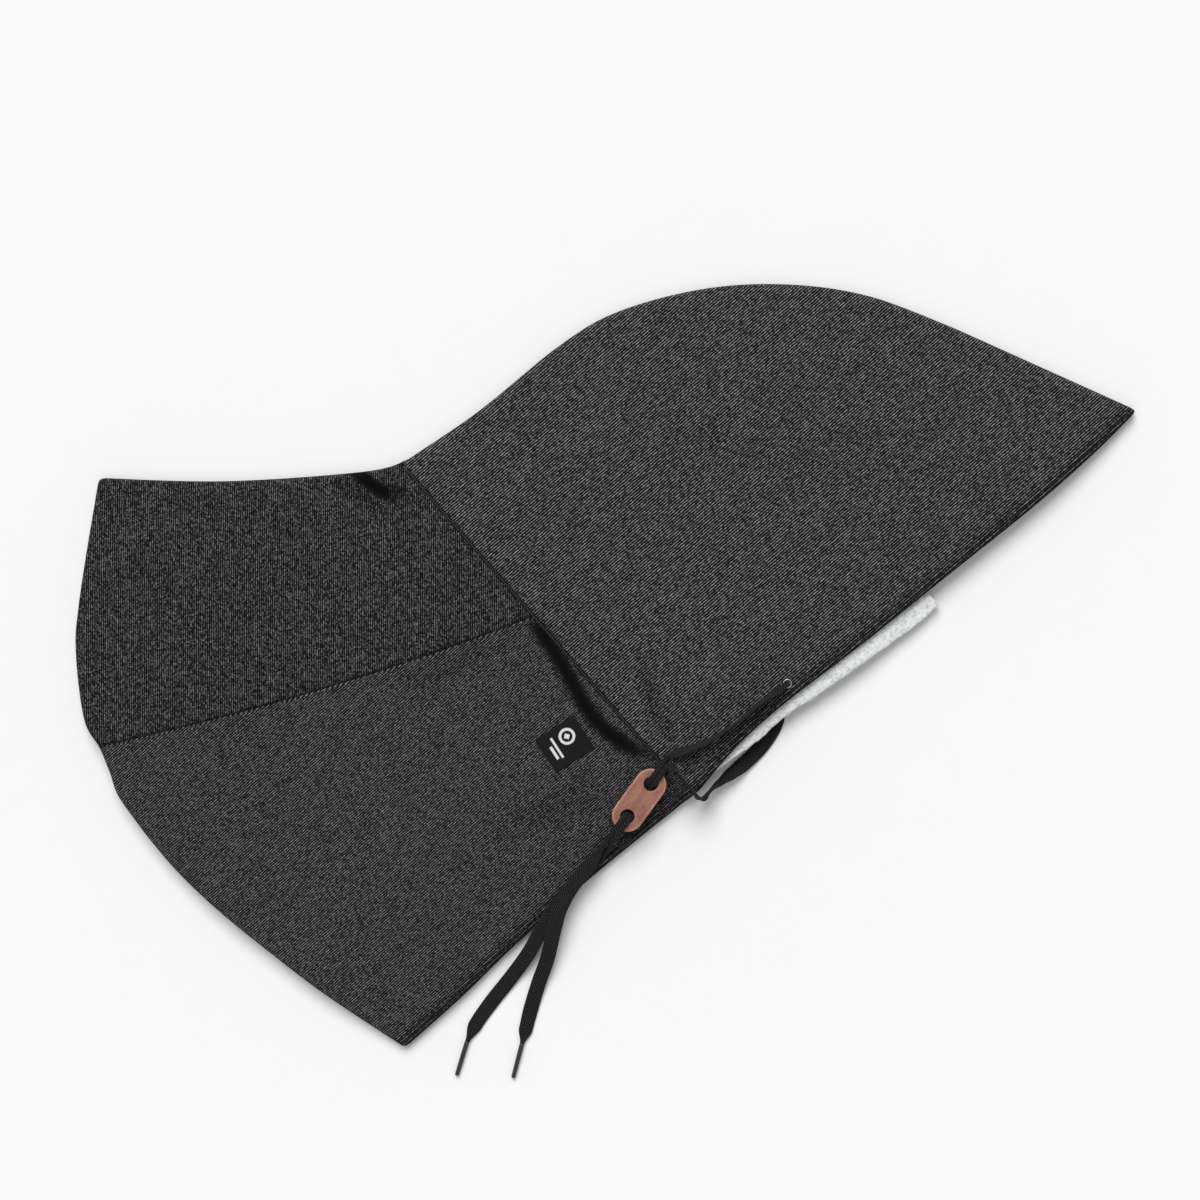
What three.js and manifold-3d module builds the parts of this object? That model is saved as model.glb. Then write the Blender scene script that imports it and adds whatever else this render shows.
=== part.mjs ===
// A hooded balaclava laid flat on its left side: a lined jersey hood with a drawcord round the face opening,
// a folded fleece face mask inside it, and a closed jersey yoke that covers the neck and shoulders.
// Millimetres. +X runs up the face opening to the crown tip, +Y to the back of the head, +Z up off the table.
// "Right" is the wearer's right side, which lies uppermost.
import * as THREE from 'three';
import Module from 'manifold-3d';
import { mergeVertices } from 'three/addons/utils/BufferGeometryUtils.js';

const wasm = await Module();
wasm.setup();

// ---- Driving dimensions ------------------------------------------------------------------------------------
const hoodHeight = 347;      // throat to crown tip, along the face opening
const hoodDepth = 264;       // face opening to the back of the neck
const yokeLength = 234;      // neck seam to the front corner of the hem
const yokeDepth = 376;       // front edge to the back corner of the hem
const shoulderRise = 141;    // where the shoulder seam leaves the neck seam
const neckX = -7;            // the neck seam's line, from the throat at X = 0

const gap = 0.3;             // between pieces that touch
const shellCloth = 1.4;      // jersey
const liningCloth = 1.8;     // brushed fleece
const maskCloth = 1.4;
const maskAir = 0.6;         // between the two leaves of the mask
const ply = shellCloth + gap + liningCloth;
const seamRoll = 4;          // width of the turned edge that joins right to left
const seamWidth = 2.8;
const seamProud = 0.4;

const casingWidth = 24;
const casingWall = 1.1;
const tunnelHeight = 1.8;
const casingHeight = 2 * casingWall + tunnelHeight;
const casingHem = 2;         // stitched margin each side of the tunnel

const laceWidth = 9;
const laceThick = 1.6;
const laceInset = 8.5;       // its middle, in from the face edge
const eyeletX = 81;
const eyeletFlange = 6.6;
const eyeletBarrel = 4.8;
const eyeletBore = 3.9;
const eyeletRim = 0.8;
const laceInBore = 3;         // width of a lace bunched to pass an eyelet

const toggleLength = 42;
const toggleWidth = 19;
const toggleThick = 3;
const toggleHole = 8.5;
const toggleHolePitch = 24;
const toggleAt = { x: -31.5, y: 17.5, turn: Math.atan2(0.227, 0.974) };
const strandWidth = 2.6;     // a lace pinched to pass the toggle beside the other one
const strandPitch = 3;

const agletLength = 21;
const agletAcross = 2.9;

const labelLength = 27.5;
const labelWidth = 23.7;
const labelThick = 0.6;
const labelAt = { x: -43, y: 72, turn: -0.14 };

const maskHeight = 2 * maskCloth + maskAir;
const closedAir = 2 * (casingHeight - ply) + 0.4;   // between the two linings at an edge, with room for both casings
const openAir = 8;           // between the two linings in the middle
const maskRoom = maskHeight + 2 * (casingHeight - ply) - 0.2;   // more of it where the mask lies
const edgeEase = 70;         // how far in from a closed edge the cloth reaches its full height
const mouthDrop = 0.3;       // share of the middle's height that is lost at the face and neck openings
const mouthEase = 45;
const laceRoom = 3.8;        // how far the under side clears the lace that leaves its eyelet

// ---- Outline of the flat garment, each stretch running clockwise --------------------------------------------
const at = (x, y) => new THREE.Vector2(x, y);
const smoothLine = (points, steps) => new THREE.SplineCurve(points).getPoints(steps);
const ease = (t) => THREE.MathUtils.smoothstep(t, 0, 1);

const nape = at(-1, hoodDepth - 1.5);
const tip = at(hoodHeight + 0.5, -2.5);
const throat = at(-2, -2);
const frontCorner = at(-yokeLength - 1.5, -3);
const backCorner = at(-0.64 * yokeLength, yokeDepth);
const hoodPoint = (along, across) => at(along * hoodHeight, across * hoodDepth);
const yokePoint = (along, across) => at(-along * yokeLength, across * yokeDepth);

const crownLine = [
  ...smoothLine([nape, hoodPoint(0.14, 0.972), hoodPoint(0.32, 0.964), hoodPoint(0.435, 0.935),
    hoodPoint(0.571, 0.848), hoodPoint(0.686, 0.731), hoodPoint(0.781, 0.587), hoodPoint(0.856, 0.405)], 26),
  tip,
];
const faceLine = smoothLine([tip, hoodPoint(0.9, -0.0185), hoodPoint(0.76, -0.0195), hoodPoint(0.57, -0.0095),
  hoodPoint(0.39, 0), hoodPoint(0.21, 0.015), hoodPoint(0.1, 0.013), throat], 15);
const frontLine = smoothLine([throat, at(-0.35 * yokeLength, 0.8), at(-0.62 * yokeLength, 0.2),
  at(-0.8 * yokeLength, -2.2), frontCorner], 7);
const shoulderNotch = yokePoint(1.09, 0.673);
const hemLine = smoothLine([frontCorner, yokePoint(1.085, 0.184), yokePoint(1.145, 0.412),
  yokePoint(1.139, 0.578), yokePoint(1.112, 0.632), shoulderNotch, yokePoint(1.073, 0.723), yokePoint(0.976, 0.813),
  yokePoint(0.885, 0.87), backCorner], 20);
const backLine = smoothLine([backCorner, at(-0.397 * yokeLength, yokeDepth - 52),
  at(-0.107 * yokeLength, hoodDepth + 9), nape], 8);
const outline = [crownLine, faceLine, frontLine, hemLine, backLine].flatMap((line) => line.slice(0, -1));

function offsetLine(line, distance) {
  return line.map((p, i) => {
    const along = line[Math.min(i + 1, line.length - 1)].clone().sub(line[Math.max(i - 1, 0)]).normalize();
    return at(p.x + along.y * distance, p.y - along.x * distance);
  });
}

const faceEdgeY = (x) => {
  const i = faceLine.findIndex((p) => p.x <= x);
  if (i <= 0) return faceLine[i === 0 ? 0 : faceLine.length - 1].y;
  const [high, low] = [faceLine[i - 1], faceLine[i]];
  return low.y + ((x - low.x) / (high.x - low.x)) * (high.y - low.y);
};

// ---- Heights of the layers, all on one grid of facets -------------------------------------------------------
const gridLines = (from, to, step, extra) => {
  const lines = [...extra];
  for (let v = from; v < to + step; v += step) lines.push(v);
  return lines.sort((a, b) => a - b).filter((v, i, all) => i === 0 || v - all[i - 1] > 3);
};
const xLines = gridLines(-1.2 * yokeLength, hoodHeight, 38, [-14, -4, 6, 18]);
const yLines = gridLines(-24, yokeDepth, 36, [0, 24]);

const inside = (x, y) => outline.reduce((odd, a, i) => {
  const b = outline[(i + 1) % outline.length];
  const crosses = (a.y > y) !== (b.y > y) && x < a.x + ((y - a.y) / (b.y - a.y)) * (b.x - a.x);
  return crosses ? !odd : odd;
}, false);

// How far in from a set of edges a point is; 0 outside the garment.
const inFrom = (lines, x, y) => {
  if (!inside(x, y)) return 0;
  const nearest = new THREE.Vector3();
  const here = new THREE.Vector3(x, y, 0);
  return Math.min(...lines.flatMap((line) => line.slice(1).map((b, i) => {
    const side = new THREE.Line3(new THREE.Vector3(line[i].x, line[i].y, 0), new THREE.Vector3(b.x, b.y, 0));
    return side.closestPointToPoint(here, true, nearest).distanceTo(here);
  })));
};

const hump = (v, rise, full, fall, end) => ease((v - rise) / (full - rise)) * ease((end - v) / (end - fall));
const under = (x, y) => laceRoom * hump(x, -14, -4, eyeletX + 24, eyeletX + 90) * ease((75 - y) / 50);
const fullness = (x, y) => ease(inFrom([crownLine, frontLine, backLine], x, y) / edgeEase);
const mouthShare = (x, y) => 1 - ease(inFrom([faceLine, hemLine], x, y) / mouthEase);
const maskShare = (x, y) => hump(x, -14, -4, 215, 275) * ease((150 - y) / 60);
const air = (x, y) => {
  const full = fullness(x, y);
  const open = closedAir + (openAir - closedAir) * full;
  return open * (1 - mouthDrop * mouthShare(x, y)) + maskRoom * maskShare(x, y) * (1 - full);
};
const heights = new Map();
const over = (x, y) => {
  const key = `${x},${y}`;
  if (!heights.has(key)) heights.set(key, under(x, y) + 2 * ply + air(x, y));
  return heights.get(key);
};
const above = (surface, rise) => (x, y) => surface(x, y) + rise;

const heightAt = (surface, x, y) => {
  const cell = (lines, v) => Math.max(0, Math.min(lines.length - 2, lines.findIndex((line) => line > v) - 1));
  const [i, j] = [cell(xLines, x), cell(yLines, y)];
  const s = (x - xLines[i]) / (xLines[i + 1] - xLines[i]);
  const t = (y - yLines[j]) / (yLines[j + 1] - yLines[j]);
  const corner = (a, b) => surface(xLines[i + a], yLines[j + b]);
  const [near, far] = [corner(0, 0), corner(1, 1)];
  return s > t
    ? near + s * (corner(1, 0) - near) + t * (far - corner(1, 0))
    : near + t * (corner(0, 1) - near) + s * (far - corner(0, 1));
};

// ---- Solids ---------------------------------------------------------------------------------------------------
function toSolid(geometry) {
  const bare = geometry.clone();
  bare.deleteAttribute('normal');
  bare.deleteAttribute('uv');
  const merged = mergeVertices(bare, 1e-4);
  return new wasm.Manifold(new wasm.Mesh({
    numProp: 3,
    vertProperties: new Float32Array(merged.attributes.position.array),
    triVerts: new Uint32Array(merged.index.array),
  }));
}

function toGeometry(solid) {
  const mesh = solid.getMesh();
  const geometry = new THREE.BufferGeometry();
  geometry.setAttribute('position', new THREE.BufferAttribute(new Float32Array(mesh.vertProperties), 3));
  geometry.setIndex(new THREE.BufferAttribute(new Uint32Array(mesh.triVerts), 1));
  return geometry;
}

// A slab between two surfaces, over the whole grid.
function slab(lower, upper) {
  const rows = yLines.length;
  const columns = xLines.length;
  const positions = xLines.flatMap((x) => yLines.flatMap((y) => [x, y, lower(x, y), x, y, upper(x, y)]));
  const faces = [];
  const vertex = (i, j, top) => (i * rows + j) * 2 + top;
  const quad = (a, b, c, d) => faces.push(a, b, c, a, c, d);
  for (let i = 0; i < columns - 1; i++) {
    for (let j = 0; j < rows - 1; j++) {
      quad(vertex(i, j, 1), vertex(i + 1, j, 1), vertex(i + 1, j + 1, 1), vertex(i, j + 1, 1));
      quad(vertex(i, j, 0), vertex(i, j + 1, 0), vertex(i + 1, j + 1, 0), vertex(i + 1, j, 0));
    }
    const last = rows - 1;
    quad(vertex(i, 0, 0), vertex(i + 1, 0, 0), vertex(i + 1, 0, 1), vertex(i, 0, 1));
    quad(vertex(i + 1, last, 0), vertex(i, last, 0), vertex(i, last, 1), vertex(i + 1, last, 1));
  }
  for (let j = 0; j < rows - 1; j++) {
    const last = columns - 1;
    quad(vertex(0, j + 1, 0), vertex(0, j, 0), vertex(0, j, 1), vertex(0, j + 1, 1));
    quad(vertex(last, j, 0), vertex(last, j + 1, 0), vertex(last, j + 1, 1), vertex(last, j, 1));
  }
  const geometry = new THREE.BufferGeometry();
  geometry.setAttribute('position', new THREE.Float32BufferAttribute(positions, 3));
  geometry.setIndex(faces);
  return toSolid(geometry);
}

const prismTop = 80;
const prism = (points, holes = []) => {
  const shape = new THREE.Shape(points);
  shape.holes.push(...holes);
  const extrusion = new THREE.ExtrudeGeometry(shape, { depth: 2 * prismTop, bevelEnabled: false });
  return toSolid(extrusion.translate(0, 0, -prismTop));
};
const box = (x0, x1, y0, y1) => prism([at(x0, y0), at(x1, y0), at(x1, y1), at(x0, y1)]);
const disc = (x, y, radius, sides = 24) => prism(
  Array.from({ length: sides }, (_, i) => {
    const turn = (2 * Math.PI * i) / sides;
    return at(x + radius * Math.cos(turn), y + radius * Math.sin(turn));
  }));

const far = 2 * (hoodHeight + yokeDepth);
const whole = prism(outline);
const band = (line, width) => prism([...offsetLine(line, -far / 40), ...offsetLine(line, width).reverse()]);
const crownReach = [...crownLine, at(tip.x + 0.12 * (hoodHeight - tip.y) / 4, tip.y - 25)];
const rolled = (width) => [crownReach, frontLine, backLine].map((line) => band(line, width));
const panels = rolled(seamRoll + gap).reduce((solid, roll) => solid.subtract(roll), whole);

const seamHalf = seamWidth / 2;
const hoodSide = (margin) => box(neckX + margin, far, -far, far);
const yokeSide = (margin) => box(-far, neckX - margin, -far, far);
const shoulderLine = new THREE.QuadraticBezierCurve(
  at(neckX, shoulderRise),
  at((neckX + shoulderNotch.x) / 2, (shoulderRise + shoulderNotch.y) / 2 - 12),
  shoulderNotch,
).getPoints(8);
const shoulderReach = [
  at(neckX + 40, shoulderRise - 16),
  ...shoulderLine,
  at(shoulderNotch.x - 60, shoulderNotch.y + 30),
];
const frontOf = (margin) => prism([...offsetLine(shoulderReach, margin), at(-far, -far), at(neckX + 40, -far)]);
const faceStrip = (from, to) => {
  const line = [at(far, tip.y), ...faceLine, at(-40, throat.y)];
  const shifted = (rise) => line.map((p) => at(p.x, p.y + rise));
  return prism([...shifted(from), ...shifted(to).reverse()]);
};

// Cloth layers of one side, as heights above the table.
const sides = {
  right: {
    shell: [above(over, -shellCloth), over],
    lining: [above(over, -ply), above(over, -ply + liningCloth)],
    casing: [above(over, -casingHeight), over],
    tunnel: [above(over, -casingWall - tunnelHeight), above(over, -casingWall)],
    wall: [above(over, -casingWall - gap), above(over, gap)],
    seam: [above(over, -ply), above(over, seamProud)],
    shoulder: [above(over, -shellCloth), above(over, seamProud)],
  },
  left: {
    shell: [under, above(under, shellCloth)],
    lining: [above(under, ply - liningCloth), above(under, ply)],
    casing: [under, above(under, casingHeight)],
    tunnel: [above(under, casingWall), above(under, casingWall + tunnelHeight)],
    wall: [above(under, -gap), above(under, casingWall + gap)],
    seam: [under, above(under, ply)],
    shoulder: [under, above(under, shellCloth)],
  },
};

// ---- Finishes -------------------------------------------------------------------------------------------------
const finish = (color, roughness, metalness = 0) => new THREE.MeshStandardMaterial({ color, roughness, metalness });
const finishes = {
  jersey: finish(0x3c3d3f, 0.95),
  jerseyDark: finish(0x323335, 0.95),
  fleece: finish(0xd9dcdb, 1),
  lace: finish(0x2b2729, 0.9),
  leather: finish(0xaa735f, 0.6),
  steel: finish(0xb4b6b9, 0.3, 1),
  film: finish(0x1a1819, 0.25),
  woven: finish(0x191a1c, 0.85),
  thread: finish(0x242527, 0.9),
};

const garment = new THREE.Group();
const cord = new THREE.Group();
function add(name, solid, material, group = garment) {
  const geometry = solid.isBufferGeometry ? solid : toGeometry(solid);
  const mesh = new THREE.Mesh(geometry, material);
  mesh.name = name;
  group.add(mesh);
  return mesh;
}

// ---- Hood -----------------------------------------------------------------------------------------------------
const beyondSeam = seamHalf + gap;
const hoodArea = panels.intersect(hoodSide(beyondSeam));
const hoodBody = hoodArea.subtract(faceStrip(-40, casingWidth + gap));
const casingArea = hoodArea.intersect(faceStrip(-40, casingWidth));
const eyeletY = faceEdgeY(eyeletX) + laceInset;

// The lace turns from the right tunnel down into the left one through a window beside the crown seam.
const turnX = hoodHeight - 18;
const turnLength = 3;
const turnWindow = box(turnX - turnLength - 3, turnX + 2.5, faceEdgeY(turnX) + casingHem, far);

for (const [side, layers] of Object.entries(sides)) {
  add(`hood_shell_${side}`, hoodBody.intersect(slab(...layers.shell)), finishes.jersey);
  add(`hood_lining_${side}`, hoodBody.intersect(slab(...layers.lining)), finishes.fleece);
  const tunnelArea = faceStrip(casingHem, casingWidth - casingHem).intersect(box(-far, turnX + 2.5, -far, far));
  const tunnel = slab(...layers.tunnel).intersect(tunnelArea);
  const innerWall = side === 'right'
    ? slab(above(over, -casingHeight - 1), above(over, -casingWall - tunnelHeight / 2))
    : slab(above(under, casingWall + tunnelHeight / 2), above(under, casingHeight + 1));
  const window = innerWall.intersect(turnWindow).intersect(faceStrip(casingHem, casingWidth - casingHem));
  const bore = disc(eyeletX, eyeletY, eyeletBarrel / 2 + gap).intersect(slab(...layers.wall));
  add(`face_casing_${side}`,
    casingArea.intersect(slab(...layers.casing)).subtract(tunnel).subtract(window).subtract(bore),
    finishes.jersey);
}
add('crown_seam', whole.intersect(band(crownReach, seamRoll)).intersect(hoodSide(beyondSeam))
  .intersect(slab(under, over)), finishes.thread);

// An eyelet: a flange on the outer face of the casing and a barrel through its wall.
function eyeletSolid() {
  const [flange, barrel, bore] = [eyeletFlange / 2, eyeletBarrel / 2, eyeletBore / 2];
  const profile = [
    at(bore, -casingWall), at(barrel, -casingWall), at(barrel, gap), at(flange, gap),
    at(flange, gap + eyeletRim / 2), at((flange + barrel) / 2, gap + eyeletRim), at(bore, gap + eyeletRim / 2),
  ];
  return new THREE.LatheGeometry([...profile, profile[0]], 20).rotateX(Math.PI / 2);
}
const rightEyeletZ = heightAt(over, eyeletX, eyeletY) + gap / 2;
const leftEyeletZ = heightAt(under, eyeletX, eyeletY) - gap / 2;
add('eyelet_right', eyeletSolid(), finishes.steel).position.set(eyeletX, eyeletY, rightEyeletZ);
const leftEyelet = add('eyelet_left', eyeletSolid(), finishes.steel);
leftEyelet.position.set(eyeletX, eyeletY, leftEyeletZ);
leftEyelet.rotation.x = Math.PI;

// The face mask: one strip of fleece folded down the middle of the face, its fold just outside the opening.
const maskTop = 181;
const maskDepth = 88;
const maskFold = smoothLine([at(maskTop, -12.5), at(maskTop - 17, -13), at(126, -9.4), at(104, -7.2), at(84, -4.6), at(66, -2.4), at(45, -2.4),
  at(neckX + beyondSeam + 1, 2)], 12);
const maskOutline = (inset) => [
  ...maskFold.map((p) => at(p.x, p.y + inset)),
  at(neckX + beyondSeam + 1, maskDepth), at(maskTop - 40, maskDepth), at(maskTop - 4, 0.6 * maskDepth),
];
const maskFrom = casingHeight + gap;
const maskSlab = (from, to) => slab(above(under, from), above(under, to));
const maskPocket = prism(maskOutline(maskCloth)).add(box(-far, far, maskDepth / 2, far));
add('face_mask', prism(maskOutline(0)).intersect(maskSlab(maskFrom, maskFrom + maskHeight))
  .subtract(maskPocket.intersect(maskSlab(maskFrom + maskCloth, maskFrom + maskCloth + maskAir))), finishes.fleece);

// ---- Yoke -----------------------------------------------------------------------------------------------------
const yokeArea = panels.intersect(yokeSide(beyondSeam));
const shoulderMargin = seamHalf + gap;
for (const [side, layers] of Object.entries(sides)) {
  const shell = yokeArea.intersect(slab(...layers.shell));
  add(`yoke_front_${side}`, shell.intersect(frontOf(-shoulderMargin)), finishes.jersey);
  add(`yoke_back_${side}`, shell.subtract(frontOf(shoulderMargin)), finishes.jerseyDark);
  add(`yoke_lining_${side}`, yokeArea.intersect(slab(...layers.lining)), finishes.fleece);
  const seamArea = frontOf(seamHalf).subtract(frontOf(-seamHalf));
  add(`shoulder_seam_${side}`, yokeArea.intersect(seamArea).intersect(slab(...layers.shoulder)), finishes.thread);
  const neckArea = whole.intersect(box(neckX - seamHalf, neckX + seamHalf, -far, far));
  add(`neck_seam_${side}`, neckArea.intersect(slab(...layers.seam)), finishes.thread);
}
for (const [name, line] of [['front_seam', frontLine], ['back_seam', backLine]]) {
  add(name, whole.intersect(band(line, seamRoll)).intersect(yokeSide(beyondSeam)).intersect(slab(under, over)),
    finishes.thread);
}

const turned = (points, place) => points.map((p) => p.clone().rotateAround(at(0, 0), place.turn))
  .map((p) => at(p.x + place.x, p.y + place.y));
const [labelX, labelY] = [labelLength / 2, labelWidth / 2];
const labelArea = prism(turned([at(-labelX, -labelY), at(labelX, -labelY), at(labelX, labelY), at(-labelX, labelY)],
  labelAt));
add('label', labelArea.intersect(slab(above(over, gap), above(over, gap + labelThick))), finishes.woven);

// ---- Drawcord -------------------------------------------------------------------------------------------------
// The stretch that the casing holds: right tunnel, turn at the crown tip, left tunnel.
const heldThick = 1.3;
const heldArea = faceStrip(laceInset - laceWidth / 2, laceInset + laceWidth / 2)
  .intersect(box(eyeletX + eyeletFlange / 2, turnX, -far, far));
const rightHeld = [-casingWall - gap / 2 - heldThick - 0.1, -casingWall - gap / 2 - 0.1];
const leftHeld = [casingWall + gap / 2 + 0.1, casingWall + gap / 2 + heldThick + 0.1];
const turnArea = heldArea.intersect(box(turnX - turnLength, turnX, -far, far));
add('casing_lace', heldArea.intersect(slab(above(over, rightHeld[0]), above(over, rightHeld[1])))
  .add(heldArea.intersect(slab(above(under, leftHeld[0]), above(under, leftHeld[1]))))
  .add(turnArea.intersect(slab(above(under, leftHeld[0]), above(over, rightHeld[1])))), finishes.lace, cord);

// A flat lace along a route. Each row of the route is X, Y, Z, the lace's width there and its roll in degrees:
// 0 lies flat and 90 stands on edge.
function laceSolid(rows, steps) {
  const path = new THREE.CatmullRomCurve3(rows.map(([x, y, z]) => new THREE.Vector3(x, y, z)), false, 'centripetal');
  const section = new THREE.Shape([at(-0.5, -0.3), at(-0.4, -0.5), at(0.4, -0.5), at(0.5, -0.3),
    at(0.5, 0.3), at(0.4, 0.5), at(-0.4, 0.5), at(-0.5, 0.3)]);
  const geometry = new THREE.ExtrudeGeometry(section, { depth: 1, steps, bevelEnabled: false });
  const places = geometry.attributes.position;
  const reach = 3 / steps;
  for (let i = 0; i < places.count; i++) {
    const t = THREE.MathUtils.clamp(places.getZ(i), 0, 1);
    const ahead = path.getPoint(Math.min(1, t + reach)).sub(path.getPoint(Math.max(0, t - reach)));
    const across = new THREE.Vector3(-ahead.y, ahead.x, 0).normalize();
    const along = path.getTangent(t);
    across.addScaledVector(along, -across.dot(along)).normalize();
    const upward = new THREE.Vector3().crossVectors(along, across);
    const row = t * (rows.length - 1);
    const [before, after] = [rows[Math.floor(row)], rows[Math.ceil(row)]];
    const width = THREE.MathUtils.lerp(before[3], after[3], row % 1);
    const roll = THREE.MathUtils.degToRad(THREE.MathUtils.lerp(before[4], after[4], row % 1));
    const [w, h] = [places.getX(i) * width, places.getY(i) * laceThick];
    const [sideways, rise] = [w * Math.cos(roll) - h * Math.sin(roll), w * Math.sin(roll) + h * Math.cos(roll)];
    const point = path.getPoint(t).addScaledVector(across, sideways).addScaledVector(upward, rise);
    places.setXYZ(i, point.x, point.y, point.z);
  }
  return geometry;
}
const onTop = (x, y, rise, width, roll) => [x, y, heightAt(over, x, y) + rise, width, roll];

// Toggle: a leather pill with two holes. Both strands go over one rim, under the bar and over the other rim.
const pillEnds = [1, -1].map((end) => end * (toggleLength - toggleWidth) / 2);
const toggleShape = new THREE.Shape();
toggleShape.absarc(pillEnds[0], 0, toggleWidth / 2, -Math.PI / 2, Math.PI / 2);
toggleShape.absarc(pillEnds[1], 0, toggleWidth / 2, Math.PI / 2, (3 * Math.PI) / 2);
for (const end of [1, -1]) {
  const hole = new THREE.Path();
  hole.absarc((end * toggleHolePitch) / 2, 0, toggleHole / 2, 0, 2 * Math.PI, true);
  toggleShape.holes.push(hole);
}
const footprint = turned([at(-21, -8), at(-21, 8), at(0, 0), at(21, -8), at(21, 8)], toggleAt);
const strandDrop = laceThick / 2 + 0.6;
const toggleZ = Math.max(...footprint.map((p) => heightAt(over, p.x, p.y))) + strandDrop + laceThick / 2 + gap;
const toggle = new THREE.Group();
toggle.position.set(toggleAt.x, toggleAt.y, toggleZ);
toggle.rotation.z = toggleAt.turn;
cord.add(toggle);
add('toggle', new THREE.ExtrudeGeometry(toggleShape, { depth: toggleThick, bevelEnabled: false, curveSegments: 10 }),
  finishes.leather, toggle);

const rimRise = toggleThick + strandDrop;
const holeIn = toggleHolePitch / 2 - toggleHole / 2;
const holeOut = toggleHolePitch / 2 + toggleHole / 2;
const strandEnd = toggleLength / 2 + 2.5;
const strandProfile = [[strandEnd, rimRise - 0.4], [toggleLength / 2, rimRise], [holeOut + 1, rimRise + 0.3],
  [holeOut - 1.2, rimRise + 0.1], [toggleHolePitch / 2, toggleThick / 2], [holeIn + 1.2, -strandDrop - 0.1],
  [holeIn - 1, -strandDrop - 0.3], [0, -strandDrop]];
const strandRows = [...strandProfile, ...strandProfile.slice(0, -1).reverse().map(([x, z]) => [-x, z])];
for (const [side, offset] of [['right', strandPitch / 2], ['left', -strandPitch / 2]]) {
  add(`lace_strand_${side}`, laceSolid(strandRows.map(([x, z]) => [x, offset, z, strandWidth, 0]), 28),
    finishes.lace, toggle);
}
const strandMouth = (end, offset, out = 0, drop = 0) => {
  const [mouth] = turned([at(end * (strandEnd + gap + 0.2 + out), offset)], toggleAt);
  return [mouth.x, mouth.y, toggleZ + rimRise - 0.4 - drop, strandWidth, 0];
};

const eyeletInner = rightEyeletZ - casingWall - tunnelHeight / 2;
add('lace_run_right', laceSolid([
  [eyeletX, eyeletY, eyeletInner, laceInBore, 0],
  [eyeletX, eyeletY, rightEyeletZ + 0.4, laceInBore, 0],
  onTop(eyeletX - 3, eyeletY + 0.3, 3, 3.8, 8),
  onTop(66, 13.6, 4.8, 8.4, 80),
  onTop(54, 14.1, 5, laceWidth, 84),
  onTop(42.5, 14.6, 5, laceWidth, 84),
  onTop(22, 17.5, 5, laceWidth, 74),
  onTop(9, 22, 5, laceWidth, 60),
  strandMouth(1, strandPitch / 2, 6, 0.4),
  strandMouth(1, strandPitch / 2),
], 32), finishes.lace, cord);

const floorLace = laceThick / 2 + 0.4;
add('lace_run_left', laceSolid([
  [eyeletX, eyeletY, leftEyeletZ + casingWall + tunnelHeight / 2, laceInBore, 0],
  [eyeletX, eyeletY, leftEyeletZ - 0.6, laceInBore, 0],
  [eyeletX - 1.5, eyeletY - 1, floorLace + 0.1, laceInBore, 0],
  [eyeletX - 4, eyeletY - 2.8, floorLace, 3.8, 0],
  [71, 5.5, floorLace, 7.5, 0],
  [60, -2.5, floorLace, laceWidth, 0],
  [45, -7, floorLace, laceWidth, 0],
  [30, -8, floorLace + 0.6, laceWidth, 8],
  [21, -7.4, floorLace + 2.6, laceWidth, 36],
  [12, -6.9, floorLace + 4.2, laceWidth, 66],
  [4, -6.6, 9, laceWidth, 88],
  [-2.8, -6, 16, laceWidth, 90],
  [-3.5, 0, heightAt(over, -3.5, 0) + 6.6, laceWidth, 90],
  onTop(-3.5, 9, 5.4, laceWidth, 90),
  onTop(-3.2, 15.5, 5.2, 8, 84),
  strandMouth(1, -strandPitch / 2, 3, 0.2),
  strandMouth(1, -strandPitch / 2),
], 44), finishes.lace, cord);

const tableZ = laceThick / 2 + 0.2;
const lowTail = laceThick / 2 + 0.6;          // the left tail lies on the yoke, the right one on the left one
const highTail = lowTail + laceThick + 0.9;
const tails = {
  right: [
    strandMouth(-1, strandPitch / 2),
    strandMouth(-1, strandPitch / 2, 3, 0.4),
    onTop(-67, 10.8, highTail + 1.5, 3.6, 0),
    onTop(-80, 7.4, highTail, laceWidth, 0),
    onTop(-96, 4.6, highTail, laceWidth, 0),
    [-110, -0.6, 13, laceWidth, 0],
    [-122, -8.5, 11.8, laceWidth, 0],
    [-136, -18.6, 7.4, laceWidth, 0],
    [-150, -26.6, 3, laceWidth, 0],
    [-164, -35.5, tableZ, laceWidth, 0],
    [-174, -42.5, tableZ, 8.4, 0],
    [-181.4, -47.6, tableZ + 0.7, 2.6, 0],
  ],
  left: [
    strandMouth(-1, -strandPitch / 2),
    strandMouth(-1, -strandPitch / 2, 3, 0.6),
    onTop(-67, 7, lowTail + 1, 3.6, 0),
    onTop(-80, 6.8, lowTail, laceWidth, 0),
    onTop(-96, 5, lowTail, laceWidth, 0),
    [-112, 1.6, heightAt(over, -112, 4) + 1.4, laceWidth, 0],
    [-127, -3, heightAt(over, -126, 4) + 1.3, laceWidth, 0],
    [-142, -8.6, 6.8, laceWidth, 0],
    [-160, -13, 2.2, laceWidth, 0],
    [-178, -16.4, tableZ, laceWidth, 0],
    [-195, -20.6, tableZ, 8.6, 0],
    [-205.6, -25, tableZ + 0.7, 2.6, 0],
  ],
};
const agletTurns = { right: Math.atan2(-12.1, -17.7), left: Math.atan2(-12.1, -19.4) };
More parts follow.
